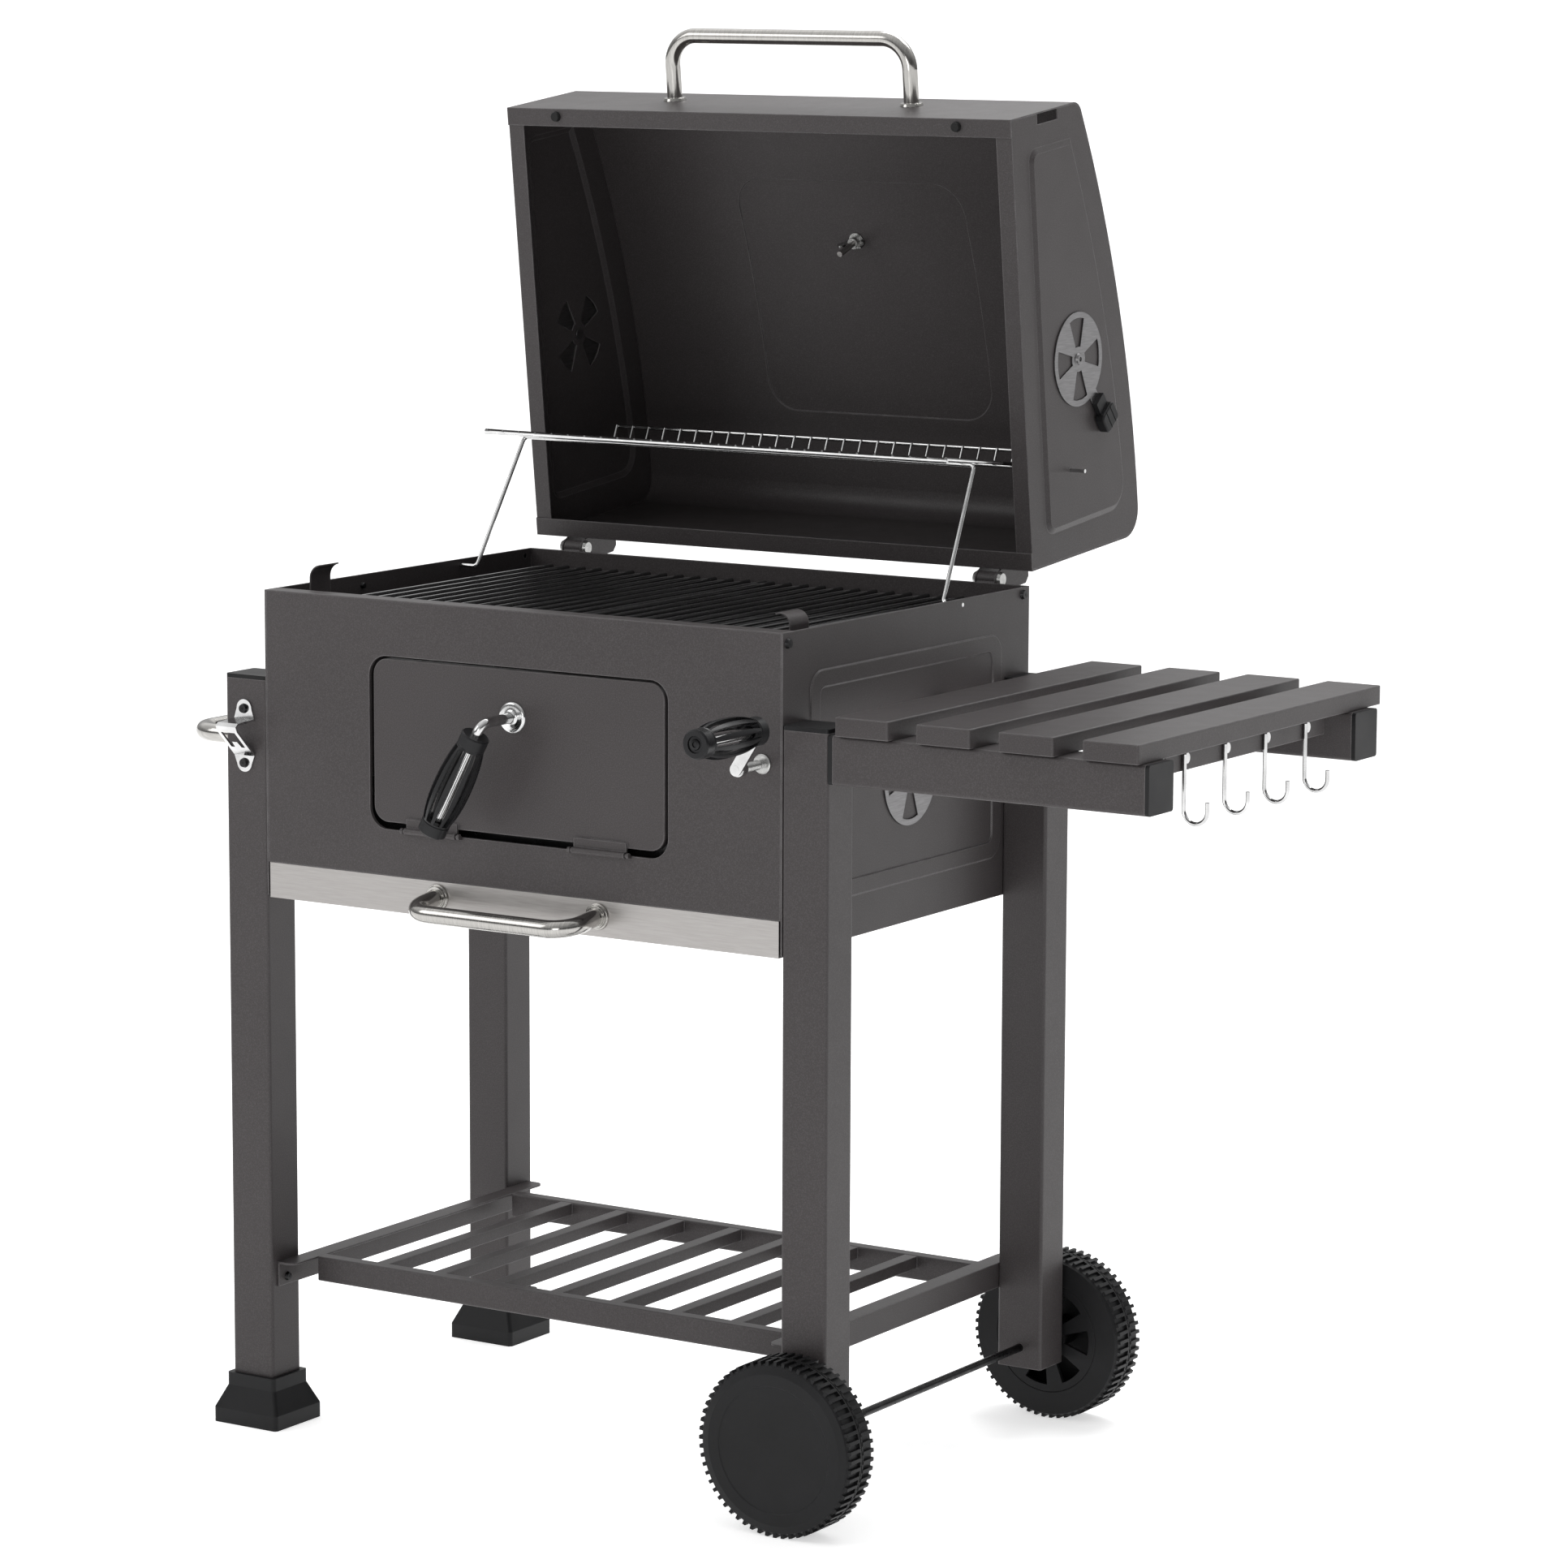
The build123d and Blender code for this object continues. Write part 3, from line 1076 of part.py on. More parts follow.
with BuildPart() as hinge_pins:
    for hinge_x in (-HINGE_X, HINGE_X):
        with BuildSketch(side(hinge_x, HINGE_Y, HINGE_Z)):
            Circle(PIN_R)
        extrude(amount=14, both=True)
        for hand in (-1, 1):
            with BuildSketch(side(hinge_x + hand * 12.8, HINGE_Y, HINGE_Z)):
                Circle(7.5)
            extrude(amount=hand * 3, taper=25)
save(hinge_pins, "hinge_pins")

# ---- warming rack and its legs ------------------------------------------------------------------
RACK_HALF_W = 272.7
RACK_WIRES = 28
RACK_FRONT = (333.0, 970.0)     # y, z of the front wire
RACK_BACK = (561.0, 943.9)      # y, z where the wires turn up
RACK_UPTURN = (569.5, 959.5)    # y, z of the raised back wire
CROSS_R = 1.25
FRAME_R = 2.0


rack_pitch = 2 * RACK_HALF_W / (RACK_WIRES - 1)
rack_run = Vector(0, RACK_BACK[0] - RACK_FRONT[0], RACK_BACK[1] - RACK_FRONT[1]).normalized()
rack_rise = Vector(0, -rack_run.Z, rack_run.Y) * 2.2
with BuildPart() as warming_rack:
    for index in range(RACK_WIRES):
        wire_x = -RACK_HALF_W + index * rack_pitch
        wire_points = [
            Vector(*at(wire_x, *RACK_FRONT)) + rack_rise - rack_run,
            Vector(*at(wire_x, *RACK_BACK)) + rack_rise,
            Vector(*at(wire_x, RACK_UPTURN[0] - 2.2, RACK_UPTURN[1] + 1)),
        ]
        add(bent_rod(wire_points, 4, FRAME_R if index in (0, RACK_WIRES - 1) else CROSS_R))
    for cross_y, cross_z, reach in ((*RACK_FRONT, 274), (*RACK_UPTURN, 274), (*RACK_PIVOT, 318)):
        with BuildSketch(side(0, cross_y, cross_z)):
            Circle(FRAME_R)
        extrude(amount=reach, both=True)
save(warming_rack, "warming_rack")

with BuildPart() as rack_legs:
    add(bent_rod([
        at(-HALF_W - 0.2, *RACK_LEG_FOOT), at(-277.5, *RACK_LEG_FOOT), at(-268.5, *RACK_LEG_TOP),
        at(268.5, *RACK_LEG_TOP), at(277.5, *RACK_LEG_FOOT), at(HALF_W + 0.2, *RACK_LEG_FOOT),
    ], 5, FRAME_R))
save(rack_legs, "rack_legs")
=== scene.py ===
"""Looks of the charcoal barbecue cart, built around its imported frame. Metres, +Z up, -Y the front."""
import json
import math

import bmesh
import bpy
from mathutils import Matrix, Vector


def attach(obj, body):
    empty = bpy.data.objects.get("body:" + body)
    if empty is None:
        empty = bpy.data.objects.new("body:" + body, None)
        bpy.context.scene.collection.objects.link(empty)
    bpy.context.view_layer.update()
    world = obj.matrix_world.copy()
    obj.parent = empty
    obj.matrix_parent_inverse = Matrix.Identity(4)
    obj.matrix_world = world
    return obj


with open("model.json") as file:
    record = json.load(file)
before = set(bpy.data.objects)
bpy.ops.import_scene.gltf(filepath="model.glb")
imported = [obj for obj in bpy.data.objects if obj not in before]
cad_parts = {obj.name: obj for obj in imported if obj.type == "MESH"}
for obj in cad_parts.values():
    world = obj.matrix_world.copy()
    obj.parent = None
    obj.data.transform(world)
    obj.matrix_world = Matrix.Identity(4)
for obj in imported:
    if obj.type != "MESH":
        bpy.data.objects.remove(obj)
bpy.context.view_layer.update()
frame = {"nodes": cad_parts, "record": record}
nodes = frame["nodes"]
scene = bpy.context.scene


# ---- materials ----------------------------------------------------------------------------------
class Shader:
    """A material under construction: node() adds a node, link() joins two sockets."""

    def __init__(self, name):
        self.material = bpy.data.materials.new(name)
        self.material.use_nodes = True
        self.tree = self.material.node_tree
        self.surface = self.tree.nodes["Principled BSDF"]
        self.place = self.node("TexCoord").outputs["Object"]

    def node(self, kind, **settings):
        made = self.tree.nodes.new("ShaderNode" + kind)
        for key, value in settings.items():
            setattr(made, key, value)
        return made

    def link(self, start, end):
        self.tree.links.new(start, end)

    def stretched(self, scale):
        """The object's coordinates, scaled along each axis."""
        mapping = self.node("Mapping")
        mapping.inputs["Scale"].default_value = scale
        self.link(self.place, mapping.inputs["Vector"])
        return mapping.outputs["Vector"]

    def noise(self, scale, detail=2.0, place=None):
        noise = self.node("TexNoise")
        noise.inputs["Scale"].default_value = scale
        noise.inputs["Detail"].default_value = detail
        self.link(place or self.place, noise.inputs["Vector"])
        return noise.outputs["Fac"]

    def spread(self, value, low, high, start=0.3, end=0.7):
        """value from start..end carried over to low..high."""
        spread = self.node("MapRange")
        limits = {"From Min": start, "From Max": end, "To Min": low, "To Max": high}
        for socket, number in limits.items():
            spread.inputs[socket].default_value = number
        self.link(value, spread.inputs["Value"])
        return spread.outputs["Result"]

    def blend(self, factor, first, second):
        """From the first colour to the second, as factor goes from 0 to 1; each may be a socket."""
        blend = self.node("Mix", data_type="RGBA")
        for index, given in ((6, first), (7, second)):
            if isinstance(given, tuple):
                blend.inputs[index].default_value = (*given, 1.0)
            else:
                self.link(given, blend.inputs[index])
        self.link(factor, blend.inputs[0])
        return blend.outputs[2]

    def combine(self, operation, first, second):
        """Two numbers joined by a math operation."""
        total = self.node("Math", operation=operation)
        self.link(first, total.inputs[0])
        self.link(second, total.inputs[1])
        return total.outputs[0]

    def bump(self, height, distance, below=None):
        """Relief of that depth, on top of the normals below."""
        bump = self.node("Bump")
        bump.inputs["Strength"].default_value = 1.0
        bump.inputs["Distance"].default_value = distance
        self.link(height, bump.inputs["Height"])
        if below:
            self.link(below, bump.inputs["Normal"])
        return bump.outputs["Normal"]

    def rounded(self, radius):
        """Normals of edges as if they were slightly rounded."""
        bevel = self.node("Bevel", samples=4)
        bevel.inputs["Radius"].default_value = radius
        return bevel.outputs["Normal"]

    def edges(self, rounded):
        """1 on sharp outer and inner edges, 0 on flat faces."""
        across = self.node("VectorMath", operation="DOT_PRODUCT")
        self.link(rounded, across.inputs[0])
        self.link(self.node("NewGeometry").outputs["Normal"], across.inputs[1])
        return self.spread(across.outputs["Value"], 1.0, 0.0, 0.93, 0.998)

    def finish(self, color, roughness, normal=None, **fixed):
        """The material, with its colour, roughness and normals, and its other values fixed by name."""
        for socket, given in (("Base Color", color), ("Roughness", roughness), ("Normal", normal)):
            if isinstance(given, tuple):
                self.surface.inputs[socket].default_value = (*given, 1.0)
            elif isinstance(given, (int, float)):
                self.surface.inputs[socket].default_value = given
            elif given is not None:
                self.link(given, self.surface.inputs[socket])
        for socket, number in fixed.items():
            self.surface.inputs[socket.replace("_", " ")].default_value = number
        return self.material


def powder_coat(name, dark, light, fleck_and_edge_highlight_tone):
    """Fine-textured heat-resistant paint: soft cloudy tone, a fine grain with pale flecks, and a painted
    highlight that lightens its edges in pale patches.
    """
    shader = Shader(name)
    grain = shader.noise(900.0, 2.0)
    cloudy = shader.blend(shader.spread(shader.noise(3.2, 3.0), 0.0, 1.0, 0.35, 0.65), dark, light)
    speckled = shader.blend(shader.spread(grain, 0.0, 0.14, 0.45, 0.75), cloudy, fleck_and_edge_highlight_tone)
    rounded = shader.rounded(0.0016)
    patches = shader.spread(shader.noise(60.0, 3.0), 0.35, 0.8)
    # painted highlight: sharp outer and inner edges lightened towards the pale tone, in random patches
    painted_edge_highlight = shader.combine("MULTIPLY", shader.edges(rounded), patches)
    edge_highlighted_paint = shader.blend(painted_edge_highlight, speckled, fleck_and_edge_highlight_tone)
    roughness = shader.spread(shader.noise(38.0, 5.0), 0.385, 0.425)
    normal = shader.bump(grain, 0.00005, rounded)
    return shader.finish(edge_highlighted_paint, roughness, normal, Specular_IOR_Level=0.28)


def steel(name, dark, light, roughness, stretch=(40.0, 900.0, 900.0), depth=0.000006):
    """Brushed metal: long fine scratches across a slightly uneven sheen."""
    shader = Shader(name)
    scratch = shader.noise(1.0, 3.0, shader.stretched(stretch))
    cloud = shader.noise(7.0, 2.0)
    scratched = shader.blend(shader.spread(scratch, 0.0, 1.0), dark, light)
    tone = shader.blend(shader.spread(cloud, 0.0, 0.2), scratched, dark)
    rough = shader.combine("ADD", shader.spread(scratch, roughness - 0.03, roughness + 0.05),
                           shader.spread(cloud, -0.015, 0.02))
    normal = shader.bump(scratch, depth, shader.rounded(0.0008))
    return shader.finish(tone, rough, normal, Metallic=1.0)


def plating(name, dark, light, roughness, patch=60.0):
    """Chrome or zinc plating: smooth, with faint patches of duller metal."""
    shader = Shader(name)
    cloud = shader.noise(patch, 3.0)
    tone = shader.blend(shader.spread(cloud, 0.0, 1.0), dark, light)
    rough = shader.spread(shader.noise(patch * 3, 4.0), roughness * 0.7, roughness * 1.4)
    return shader.finish(tone, rough, shader.bump(cloud, 0.00004), Metallic=1.0)


def plastic(name, dark, light, roughness, grain=1400.0, depth=0.00004):
    """Moulded plastic: a fine spark-eroded grain and a slightly cloudy tone."""
    shader = Shader(name)
    fine = shader.noise(grain, 2.0)
    cloud = shader.noise(22.0, 4.0)
    tone = shader.blend(shader.spread(cloud, 0.0, 1.0), dark, light)
    rough = shader.spread(cloud, roughness - 0.06, roughness + 0.08)
    normal = shader.bump(fine, depth, shader.rounded(0.0006))
    return shader.finish(tone, rough, normal, Specular_IOR_Level=0.2)


def enamel(name, dark, light, roughness, coat_weight=0.0):
    """Vitreous enamel over steel: glossy, with an orange-peel ripple and pale flecks."""
    shader = Shader(name)
    flecks = shader.node("TexVoronoi")
    flecks.inputs["Scale"].default_value = 420.0
    shader.link(shader.place, flecks.inputs["Vector"])
    spots = shader.spread(flecks.outputs["Distance"], 1.0, 0.0, 0.08, 0.2)
    peel = shader.noise(240.0, 2.0)
    tone = shader.blend(spots, dark, light)
    rough = shader.spread(shader.noise(30.0, 4.0), roughness - 0.04, roughness + 0.08)
    return shader.finish(tone, rough, shader.bump(peel, 0.00004), Specular_IOR_Level=0.7,
                         Coat_Weight=coat_weight, Coat_Roughness=0.06)


def lens_glass(name):
    """Clear glass with a faint haze."""
    shader = Shader(name)
    haze = shader.spread(shader.noise(90.0, 4.0), 0.01, 0.06)
    ripple = shader.bump(shader.noise(30.0), 0.00002)
    return shader.finish((0.97, 0.98, 0.98), haze, ripple, Transmission_Weight=1.0, IOR=1.45)


# the third tone colours the grain's pale flecks and the painted highlight along the edges
PAINT = powder_coat("graphite_powder_coat", (0.042, 0.0368, 0.0373), (0.051, 0.0452, 0.0458),
                    (0.22, 0.21, 0.213))
TUBE_TONES = ((0.36, 0.35, 0.335), (0.47, 0.46, 0.44))
TUBE_STEEL = steel("satin_tube", *TUBE_TONES, 0.13, (900.0, 60.0, 60.0), 0.000003)
PUSH_STEEL = steel("satin_push_tube", *TUBE_TONES, 0.13, (60.0, 900.0, 60.0), 0.000003)
STRIP_STEEL = steel("brushed_strip", (0.35, 0.335, 0.325), (0.42, 0.405, 0.395), 0.36)
TRAY_STEEL = steel("galvanised_tray", (0.30, 0.31, 0.32), (0.42, 0.43, 0.44), 0.45, (30.0, 30.0, 30.0))
CHROME = plating("chrome_wire", (0.50, 0.50, 0.50), (0.66, 0.66, 0.66), 0.14)
ZINC = plating("zinc_plating", (0.36, 0.36, 0.355), (0.50, 0.50, 0.49), 0.28, 90.0)
VENT_STEEL = steel("vent_disc", (0.17, 0.167, 0.17), (0.25, 0.246, 0.25), 0.34, (700.0, 60.0, 700.0))
BLACK_METAL = plating("black_plating", (0.02, 0.02, 0.021), (0.04, 0.04, 0.041), 0.3)
BLACK_TONES = ((0.008, 0.008, 0.0085), (0.013, 0.013, 0.014))
BLACK_PLASTIC = plastic("black_moulding", *BLACK_TONES, 0.42)
WHEEL_PLASTIC = plastic("wheel_moulding", *BLACK_TONES, 0.45, 700.0, 0.00006)
GRIP_PLASTIC = plastic("grip_moulding", (0.011, 0.011, 0.012), (0.017, 0.017, 0.018), 0.3, 600.0, 0.00001)
RUBBER = plastic("rubber_pad", (0.012, 0.012, 0.012), (0.02, 0.02, 0.02), 0.7)
GRATE_ENAMEL = enamel("grate_enamel", (0.024, 0.024, 0.0245), (0.07, 0.07, 0.071), 0.14, 0.6)
PAN_ENAMEL = enamel("pan_enamel", (0.012, 0.012, 0.0125), (0.12, 0.12, 0.125), 0.3)
DIAL_FACE = steel("dial_face", (0.62, 0.62, 0.60), (0.74, 0.74, 0.72), 0.4, (300.0, 300.0, 300.0))
DIAL_PRINT = plastic("dial_print", (0.010, 0.010, 0.010), (0.016, 0.016, 0.016), 0.5)
POINTER_RED = plastic("pointer_red", (0.36, 0.018, 0.014), (0.44, 0.024, 0.018), 0.35)
LENS_GLASS = lens_glass("gauge_lens")

FINISHES = {    # by material slot
    "grey_paint": PAINT,
    "handle_steel": TUBE_STEEL,
    "bright_steel": STRIP_STEEL,
    "gauge_steel": STRIP_STEEL,
    "galvanised_steel": TRAY_STEEL,
    "chrome_wire": CHROME,
    "zinc_steel": ZINC,
    "black_steel": BLACK_METAL,
    "black_plastic": BLACK_PLASTIC,
    "wheel_plastic": WHEEL_PLASTIC,
    "rubber_pads": RUBBER,
    "black_enamel": PAN_ENAMEL,
}
SPECIAL = {    # nodes that differ from the rest of their slot
    "push_handle": PUSH_STEEL,
    "door_handle_grip": GRIP_PLASTIC,
    "crank_grip": GRIP_PLASTIC,
    "lid_left_vent": VENT_STEEL,
    "lid_right_vent": VENT_STEEL,
    "firebox_left_vent": VENT_STEEL,
    "firebox_right_vent": VENT_STEEL,
    "cooking_grate_left": GRATE_ENAMEL,
    "cooking_grate_right": GRATE_ENAMEL,
    "door_rosette": CHROME,
    "door_handle_rod": CHROME,
    "crank": CHROME,
}


def coat(piece, material):
    """Gives a piece that one material."""
    piece.data.materials.clear()
    piece.data.materials.append(material)


for part in frame["record"]["subparts"]:
    coat(nodes[part["node"]], SPECIAL.get(part["node"], FINISHES[part["material_slot"]]))

# ---- small pieces -------------------------------------------------------------------------------
FIREBOX_FRONT = Vector((-0.1366, -0.2563, 0.0))    # foot of the firebox's front face, at its middle


def piece(name, mesh, material, body, smooth=False):
    """A new piece of the object from a bmesh, moving with a body of the frame."""
    bmesh.ops.recalc_face_normals(mesh, faces=mesh.faces)
    data = bpy.data.meshes.new(name)
    mesh.to_mesh(data)
    mesh.free()
    for face in data.polygons:
        face.use_smooth = smooth
    made = bpy.data.objects.new(name, data)
    scene.collection.objects.link(made)
    coat(made, material)
    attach(made, body)
    return made


def prism(mesh, outline, lift, thick, place):
    """A flat shape of that thickness: outline in the plane of place, lift above it."""
    low = [mesh.verts.new(place @ Vector((x, y, lift))) for x, y in outline]
    high = [mesh.verts.new(place @ Vector((x, y, lift + thick))) for x, y in outline]
    mesh.faces.new(low[::-1])
    mesh.faces.new(high)
    for index in range(len(outline)):
        after = (index + 1) % len(outline)
        mesh.faces.new((low[index], low[after], high[after], high[index]))


def ring(radius, count=64):
    """Outline of a disc."""
    angles = [math.tau * index / count for index in range(count)]
    return [(radius * math.cos(angle), radius * math.sin(angle)) for angle in angles]


def bar(length, width, start, turn, tip=None):
    """Outline of a straight bar from start, pointing along turn, narrowing to tip."""
    tip = width if tip is None else tip
    end = start + length
    corners = ((start, -width / 2), (end, -tip / 2), (end, tip / 2), (start, width / 2))
    cosine, sine = math.cos(turn), math.sin(turn)
    return [(x * cosine - y * sine, x * sine + y * cosine) for x, y in corners]


def skin(mesh, rows):
    """Joins closed rows of points, each to the next."""
    for lower, upper in zip(rows, rows[1:]):
        for column in range(len(lower)):
            after = (column + 1) % len(lower)
            mesh.faces.new((lower[column], lower[after], upper[after], upper[column]))


def facing(middle, outward, across):
    """The plane through middle that faces outward, as a matrix."""
    turned = Matrix((across, outward.cross(across), outward)).transposed().to_4x4()
    return Matrix.Translation(middle) @ turned


def islands(node):
    """The points of each separate solid of a CAD node."""
    mesh = bmesh.new()
    mesh.from_mesh(nodes[node].data)
    bmesh.ops.remove_doubles(mesh, verts=mesh.verts, dist=0.00001)
    unseen = set(mesh.verts)
    found = []
    while unseen:
        group = set()
        waiting = [unseen.pop()]
        while waiting:
            vertex = waiting.pop()
            group.add(vertex)
            for edge in vertex.link_edges:
                other = edge.other_vert(vertex)
                if other in unseen:
                    unseen.discard(other)
                    waiting.append(other)
        found.append([nodes[node].matrix_world @ vertex.co for vertex in group])
    mesh.free()
    return found


# the thermometer's dial, on the outside of the lid
LID_LEAN = math.radians(6.6)                       # the open lid leans forward by this
LID_HINGE = FIREBOX_FRONT + Vector((0, 0.4571, 0.843))
GAUGE_ALONG, GAUGE_ABOVE = 0.300, 0.1863           # from the hinge, along the lid's rim and square to it
GAUGE_SLOPE = math.radians(14.3)                   # of the lid's top under the thermometer
DIAL_R = 0.0262
DIAL_Z, DIAL_T = 0.00962, 0.0002                   # heights above the lid's top, and thicknesses
MARK_Z, MARK_T = 0.00984, 0.0001
NEEDLE_Z, NEEDLE_T = 0.01005, 0.0002
NEEDLE_LENGTH, NEEDLE_TAIL = 0.024, 0.006          # overall, and behind the hub
NEEDLE_WIDTH, NEEDLE_TIP = 0.0018, 0.0004
HUB_R, HUB_Z, HUB_T = 0.0022, 0.01002, 0.0005
LENS_Z, LENS_T = 0.0107, 0.0005
MARKS = 31
DIAL_START, MARK_STEP = 225, 9                     # degrees; the marks run clockwise
MARK_EDGE = 0.002                                  # from the marks to the dial's edge
LONG_MARK, SHORT_MARK = (0.0042, 0.0007), (0.0022, 0.0004)    # length and width

along_lid = Vector((0, -math.sin(LID_LEAN), math.cos(LID_LEAN)))
above_lid = Vector((0, math.cos(LID_LEAN), math.sin(LID_LEAN)))
gauge_out = along_lid * math.sin(GAUGE_SLOPE) + above_lid * math.cos(GAUGE_SLOPE)
gauge_middle = LID_HINGE + along_lid * GAUGE_ALONG + above_lid * GAUGE_ABOVE
gauge = facing(gauge_middle, gauge_out, Vector((1, 0, 0)))

dial = bmesh.new()
prism(dial, ring(DIAL_R), DIAL_Z, DIAL_T, gauge)
piece("dial", dial, DIAL_FACE, "lid")

marks = bmesh.new()
for step in range(MARKS):
    length, width = SHORT_MARK if step % 5 else LONG_MARK
    angle = math.radians(DIAL_START - MARK_STEP * step)
    prism(marks, bar(length, width, DIAL_R - MARK_EDGE - length, angle), MARK_Z, MARK_T, gauge)
piece("dial_marks", marks, DIAL_PRINT, "lid")

needle = bmesh.new()
blade = bar(NEEDLE_LENGTH, NEEDLE_WIDTH, -NEEDLE_TAIL, math.radians(DIAL_START), NEEDLE_TIP)
prism(needle, blade, NEEDLE_Z, NEEDLE_T, gauge)
prism(needle, ring(HUB_R, 32), HUB_Z, HUB_T, gauge)
piece("dial_needle", needle, POINTER_RED, "lid")

glass = bmesh.new()
prism(glass, ring(DIAL_R), LENS_Z, LENS_T, gauge)
piece("dial_lens", glass, LENS_GLASS, "lid")

# the crank's thread, between its arm and the bush
SPINDLE = FIREBOX_FRONT + Vector((0.278, 0, 0.717))
THREAD_Y = (-0.0335, -0.0065)
THREAD_R = 0.00402
THREAD_DEPTH = 0.0006
THREAD_PITCH = 0.0018
THREAD_ROWS = 180
THREAD_SIDES = 32
RUN_OUT_ROWS = 4                # at each end, where the thread fades into the rod
thread = bmesh.new()
thread_rows = []
for row in range(THREAD_ROWS + 1):
    y = THREAD_Y[0] + (THREAD_Y[1] - THREAD_Y[0]) * row / THREAD_ROWS
    fade = min(1, row / RUN_OUT_ROWS, (THREAD_ROWS - row) / RUN_OUT_ROWS)
    points = []
    for column in range(THREAD_SIDES):
        angle = math.tau * column / THREAD_SIDES
        turn = (y / THREAD_PITCH - column / THREAD_SIDES) % 1.0
        radius = THREAD_R + THREAD_DEPTH * (1 - abs(2 * turn - 1)) * fade
        spot = SPINDLE + Vector((radius * math.cos(angle), y, radius * math.sin(angle)))
        points.append(thread.verts.new(spot))
    thread_rows.append(points)
skin(thread, thread_rows)
piece("crank_thread", thread, ZINC, "crank", smooth=True)

# the black screw head over the washer at the outer end of the crank's grip
GRIP_END = FIREBOX_FRONT + Vector((0.3025, -0.1468, 0.755))
HEAD_SIDES = 40
HEAD_PROFILE = (                # radius, and how far it stands out
    (0.0024, 0.0016), (0.0028, 0.0026), (0.0046, 0.0023), (0.0052, 0.0012),
    (0.0078, 0.0010), (0.0080, 0.0), (0.0080, -0.0020),
)
head = bmesh.new()
head_rows = []
for radius, out in HEAD_PROFILE:
    spots = [GRIP_END + Vector((x, -out, z)) for x, z in ring(radius, HEAD_SIDES)]
    head_rows.append([head.verts.new(spot) for spot in spots])
head.faces.new(head_rows[0])
skin(head, head_rows)
piece("crank_grip_screw", head, BLACK_METAL, "crank")

# painted shade: flat crosses in the dial marks' flat black, standing in for the shade inside the screws'
# cross recesses
RECESS_LENGTH, RECESS_WIDTH = 0.0030, 0.0007
RECESS_DEEP, RECESS_T = 0.0004, 0.00046
RECESS_TURN = 0.4


def screw_top(spots):
    """The middle of a screw's head, and its outward direction, from the screw's points."""
    low, high = (Vector([pick(spot[axis] for spot in spots) for axis in range(3)]) for pick in (min, max))
    middle, size = (low + high) / 2, high - low
    axis = min(range(3), key=lambda a: abs(size[(a + 1) % 3] - size[(a + 2) % 3]))
    outward = Vector((0, 0, 0))
    outward[axis] = 1.0
    brim = max(spots, key=lambda spot: (spot - middle - outward * (spot - middle)[axis]).length)
    if brim[axis] > middle[axis]:
        outward = -outward
    return middle + outward * (size[axis] / 2), outward


# each cross is a thin dark sheet that paints the shade of a recess
recess_shade = bmesh.new()
for spots in islands("frame_screws"):
    tip, outward = screw_top(spots)
    across = Vector((1, 0, 0) if outward.z else (0, 0, 1))
    for turn in (RECESS_TURN, RECESS_TURN + math.pi / 2):
        slot = bar(RECESS_LENGTH, RECESS_WIDTH, -RECESS_LENGTH / 2, turn)
        prism(recess_shade, slot, -RECESS_DEEP, RECESS_T, facing(tip, outward, across))
piece("screw_recess_shade", recess_shade, DIAL_PRINT, "cart")

# ---- floor, light and camera --------------------------------------------------------------------
FLOOR_HALF = 400.0
floor_corners = [(x * FLOOR_HALF, y * FLOOR_HALF, 0) for x, y in ((-1, -1), (1, -1), (1, 1), (-1, 1))]
floor_mesh = bpy.data.meshes.new("floor")
floor_mesh.from_pydata(floor_corners, [], [(0, 1, 2, 3)])
floor = bpy.data.objects.new("floor", floor_mesh)
scene.collection.objects.link(floor)
floor_shader = Shader("floor_white")
floor_tone = floor_shader.blend(floor_shader.noise(2.0, 2.0), (0.86, 0.86, 0.86), (0.88, 0.88, 0.88))
floor_shader.surface.inputs["Emission Color"].default_value = (1.0, 1.0, 1.0, 1.0)
coat(floor, floor_shader.finish(floor_tone, 0.7, Specular_IOR_Level=0.1, Emission_Strength=0.55))

# direction along an axis, from -1 to 1, and the brightness there; the three are multiplied
SKY = {
    "Y": ((-1.0, 0.5), (-0.2, 0.62), (0.5, 1.0)),
    "X": ((-0.2, 1.0), (0.3, 0.75), (1.0, 0.4)),
    "Z": ((0.0, 0.34), (0.2, 0.5), (0.5, 1.2), (0.9, 1.6)),
}
world = bpy.data.worlds.new("studio")
scene.world = world
world.use_nodes = True
sky = world.node_tree
sky_place = sky.nodes.new("ShaderNodeTexCoord")
sky_direction = sky.nodes.new("ShaderNodeSeparateXYZ")
sky.links.new(sky_place.outputs["Generated"], sky_direction.inputs["Vector"])


def sky_ramp(axis, stops):
    """Brightness of the surroundings along one axis."""
    ramp = sky.nodes.new("ShaderNodeValToRGB")
    ramp.color_ramp.interpolation = "EASE"
    elements = ramp.color_ramp.elements
    elements.remove(elements[1])
    elements[0].position = (stops[0][0] + 1) / 2
    for position, _ in stops[1:]:
        elements.new((position + 1) / 2)
    for element, (_, value) in zip(elements, stops):
        element.color = (value, value, value, 1.0)
    lift = sky.nodes.new("ShaderNodeMapRange")
    lift.inputs["From Min"].default_value = -1.0
    sky.links.new(sky_direction.outputs[axis], lift.inputs["Value"])
    sky.links.new(lift.outputs["Result"], ramp.inputs["Fac"])
    return ramp.outputs["Color"]


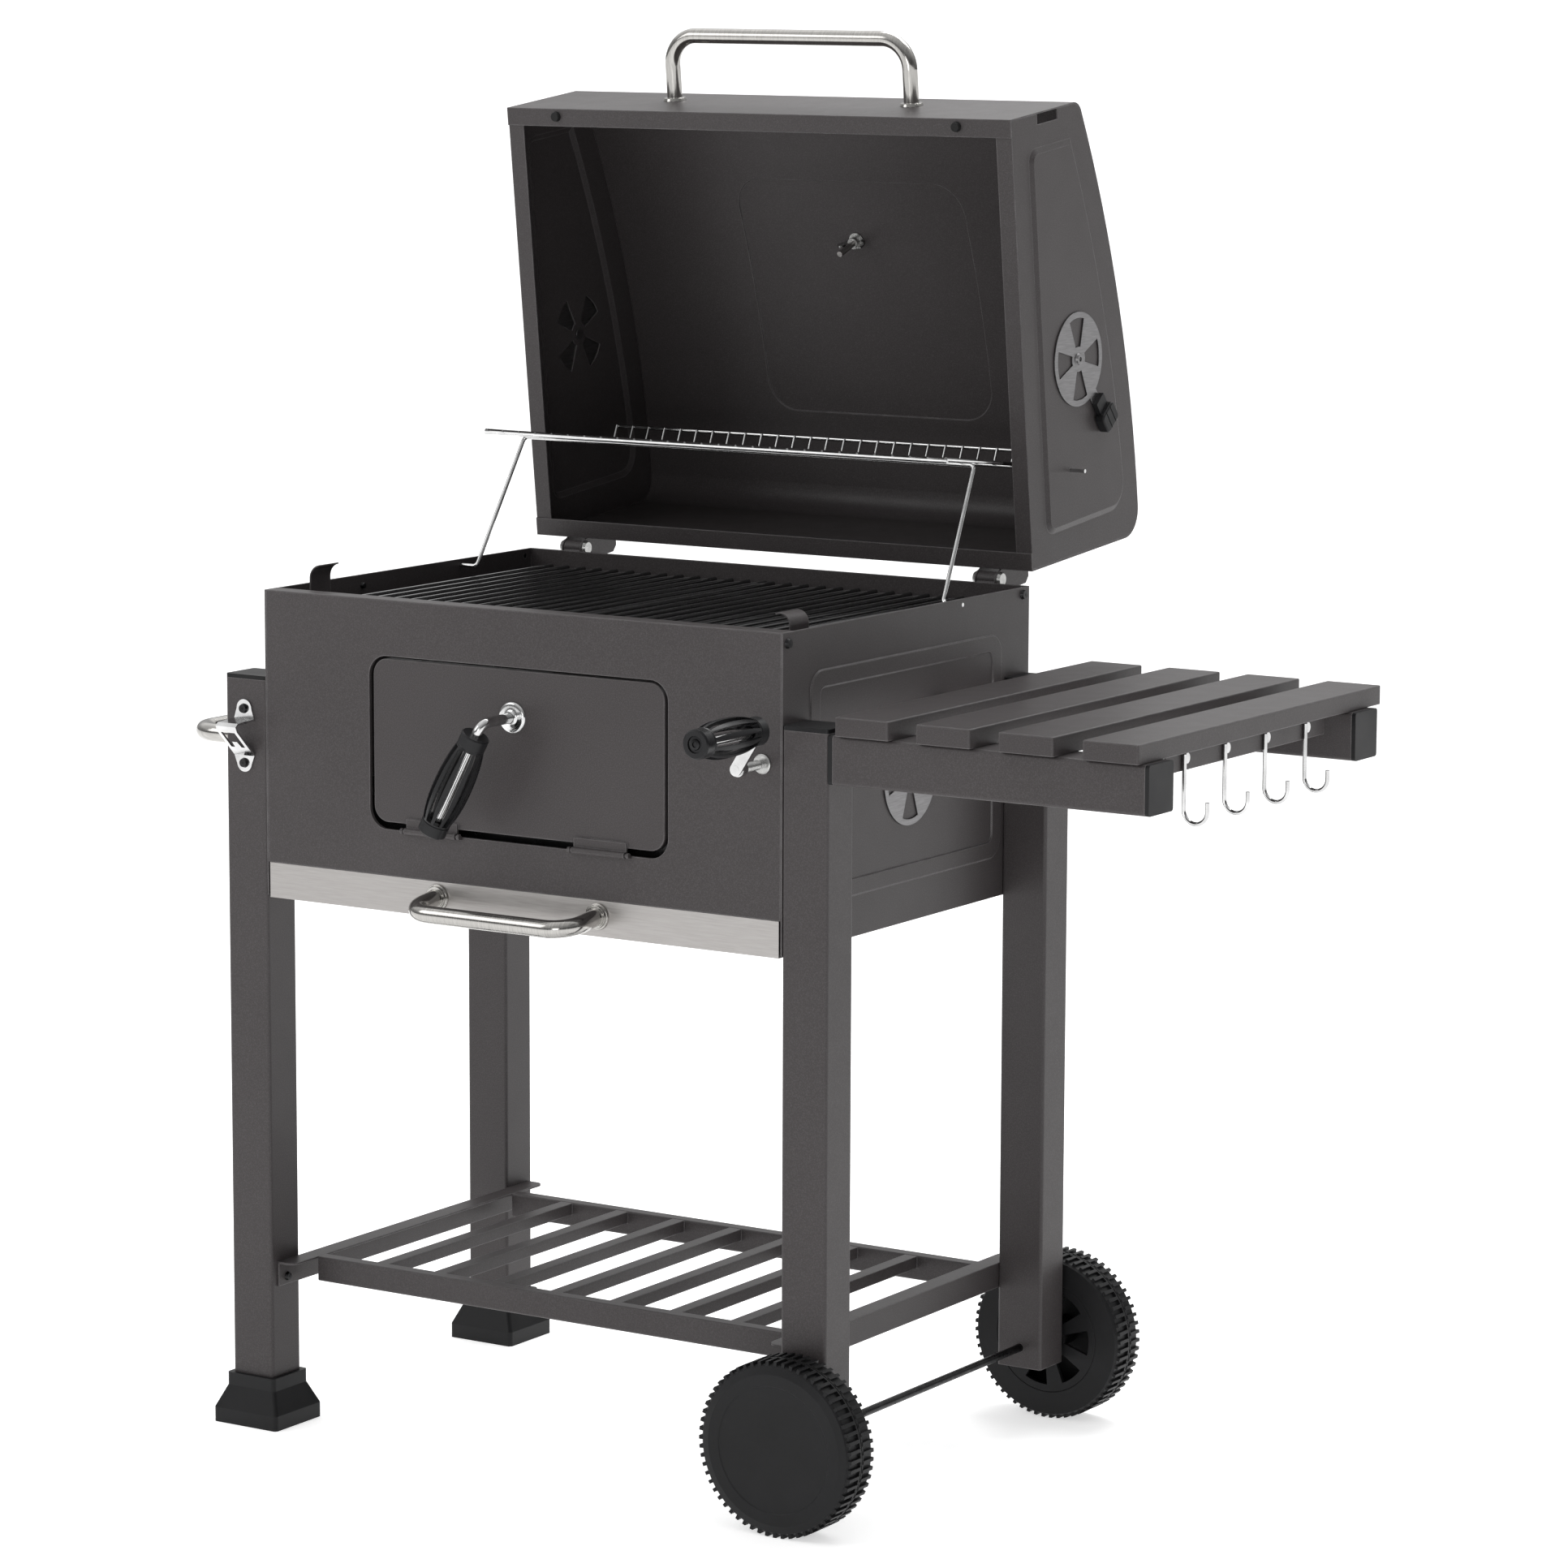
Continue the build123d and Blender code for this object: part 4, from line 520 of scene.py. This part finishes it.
def multiplied(first, second):
    """The product of two colours of the surroundings."""
    mix = sky.nodes.new("ShaderNodeMix")
    mix.data_type = "RGBA"
    mix.blend_type = "MULTIPLY"
    mix.inputs[0].default_value = 1.0
    sky.links.new(first, mix.inputs[6])
    sky.links.new(second, mix.inputs[7])
    return mix.outputs[2]


ramps = {axis: sky_ramp(axis, stops) for axis, stops in SKY.items()}
sky_shade = multiplied(multiplied(ramps["Y"], ramps["X"]), ramps["Z"])
sky.links.new(sky_shade, sky.nodes["Background"].inputs["Color"])
sky.nodes["Background"].inputs["Strength"].default_value = 1.0

MIDDLE = Vector((0.0, 0.0, 0.75))


def softbox(name, place, size, watts):
    """A soft rectangular lamp that points at the middle of the cart."""
    light = bpy.data.lights.new(name, "AREA")
    light.shape = "RECTANGLE"
    light.size, light.size_y = size
    light.energy = watts
    lamp = bpy.data.objects.new(name, light)
    lamp.location = place
    lamp.rotation_euler = (MIDDLE - Vector(place)).to_track_quat("-Z", "Y").to_euler()
    scene.collection.objects.link(lamp)


softbox("key", (-2.8, -3.0, 3.0), (2.2, 2.2), 34)
softbox("top", (0.0, 1.6, 3.4), (2.6, 1.6), 60)
softbox("front", (1.0, -3.6, 1.1), (1.2, 1.2), 14)

CAMERA_PLACE = (2.87105, -4.47488, 1.47407)
CAMERA_TURN = 0.5703103    # to the right of straight ahead, radians
CAMERA_TILT = 0.1531649    # looking down
CAMERA_ROLL = 0.0036329
LENS_MM = 126.65
back = Vector((math.sin(CAMERA_TURN) * math.cos(CAMERA_TILT),
               -math.cos(CAMERA_TURN) * math.cos(CAMERA_TILT),
               math.sin(CAMERA_TILT)))
right = Vector((math.cos(CAMERA_TURN), math.sin(CAMERA_TURN), 0))
up = back.cross(right)
turned_right = right * math.cos(CAMERA_ROLL) + up * math.sin(CAMERA_ROLL)
turned_up = up * math.cos(CAMERA_ROLL) - right * math.sin(CAMERA_ROLL)
view = bpy.data.cameras.new("camera")
view.lens = LENS_MM
view.sensor_width = 36.0
view.clip_end = 1500.0
camera = bpy.data.objects.new("camera", view)
axes = Matrix((turned_right, turned_up, back)).transposed().to_4x4()
camera.matrix_world = Matrix.Translation(CAMERA_PLACE) @ axes
scene.collection.objects.link(camera)
scene.camera = camera
scene.view_settings.view_transform = "Standard"
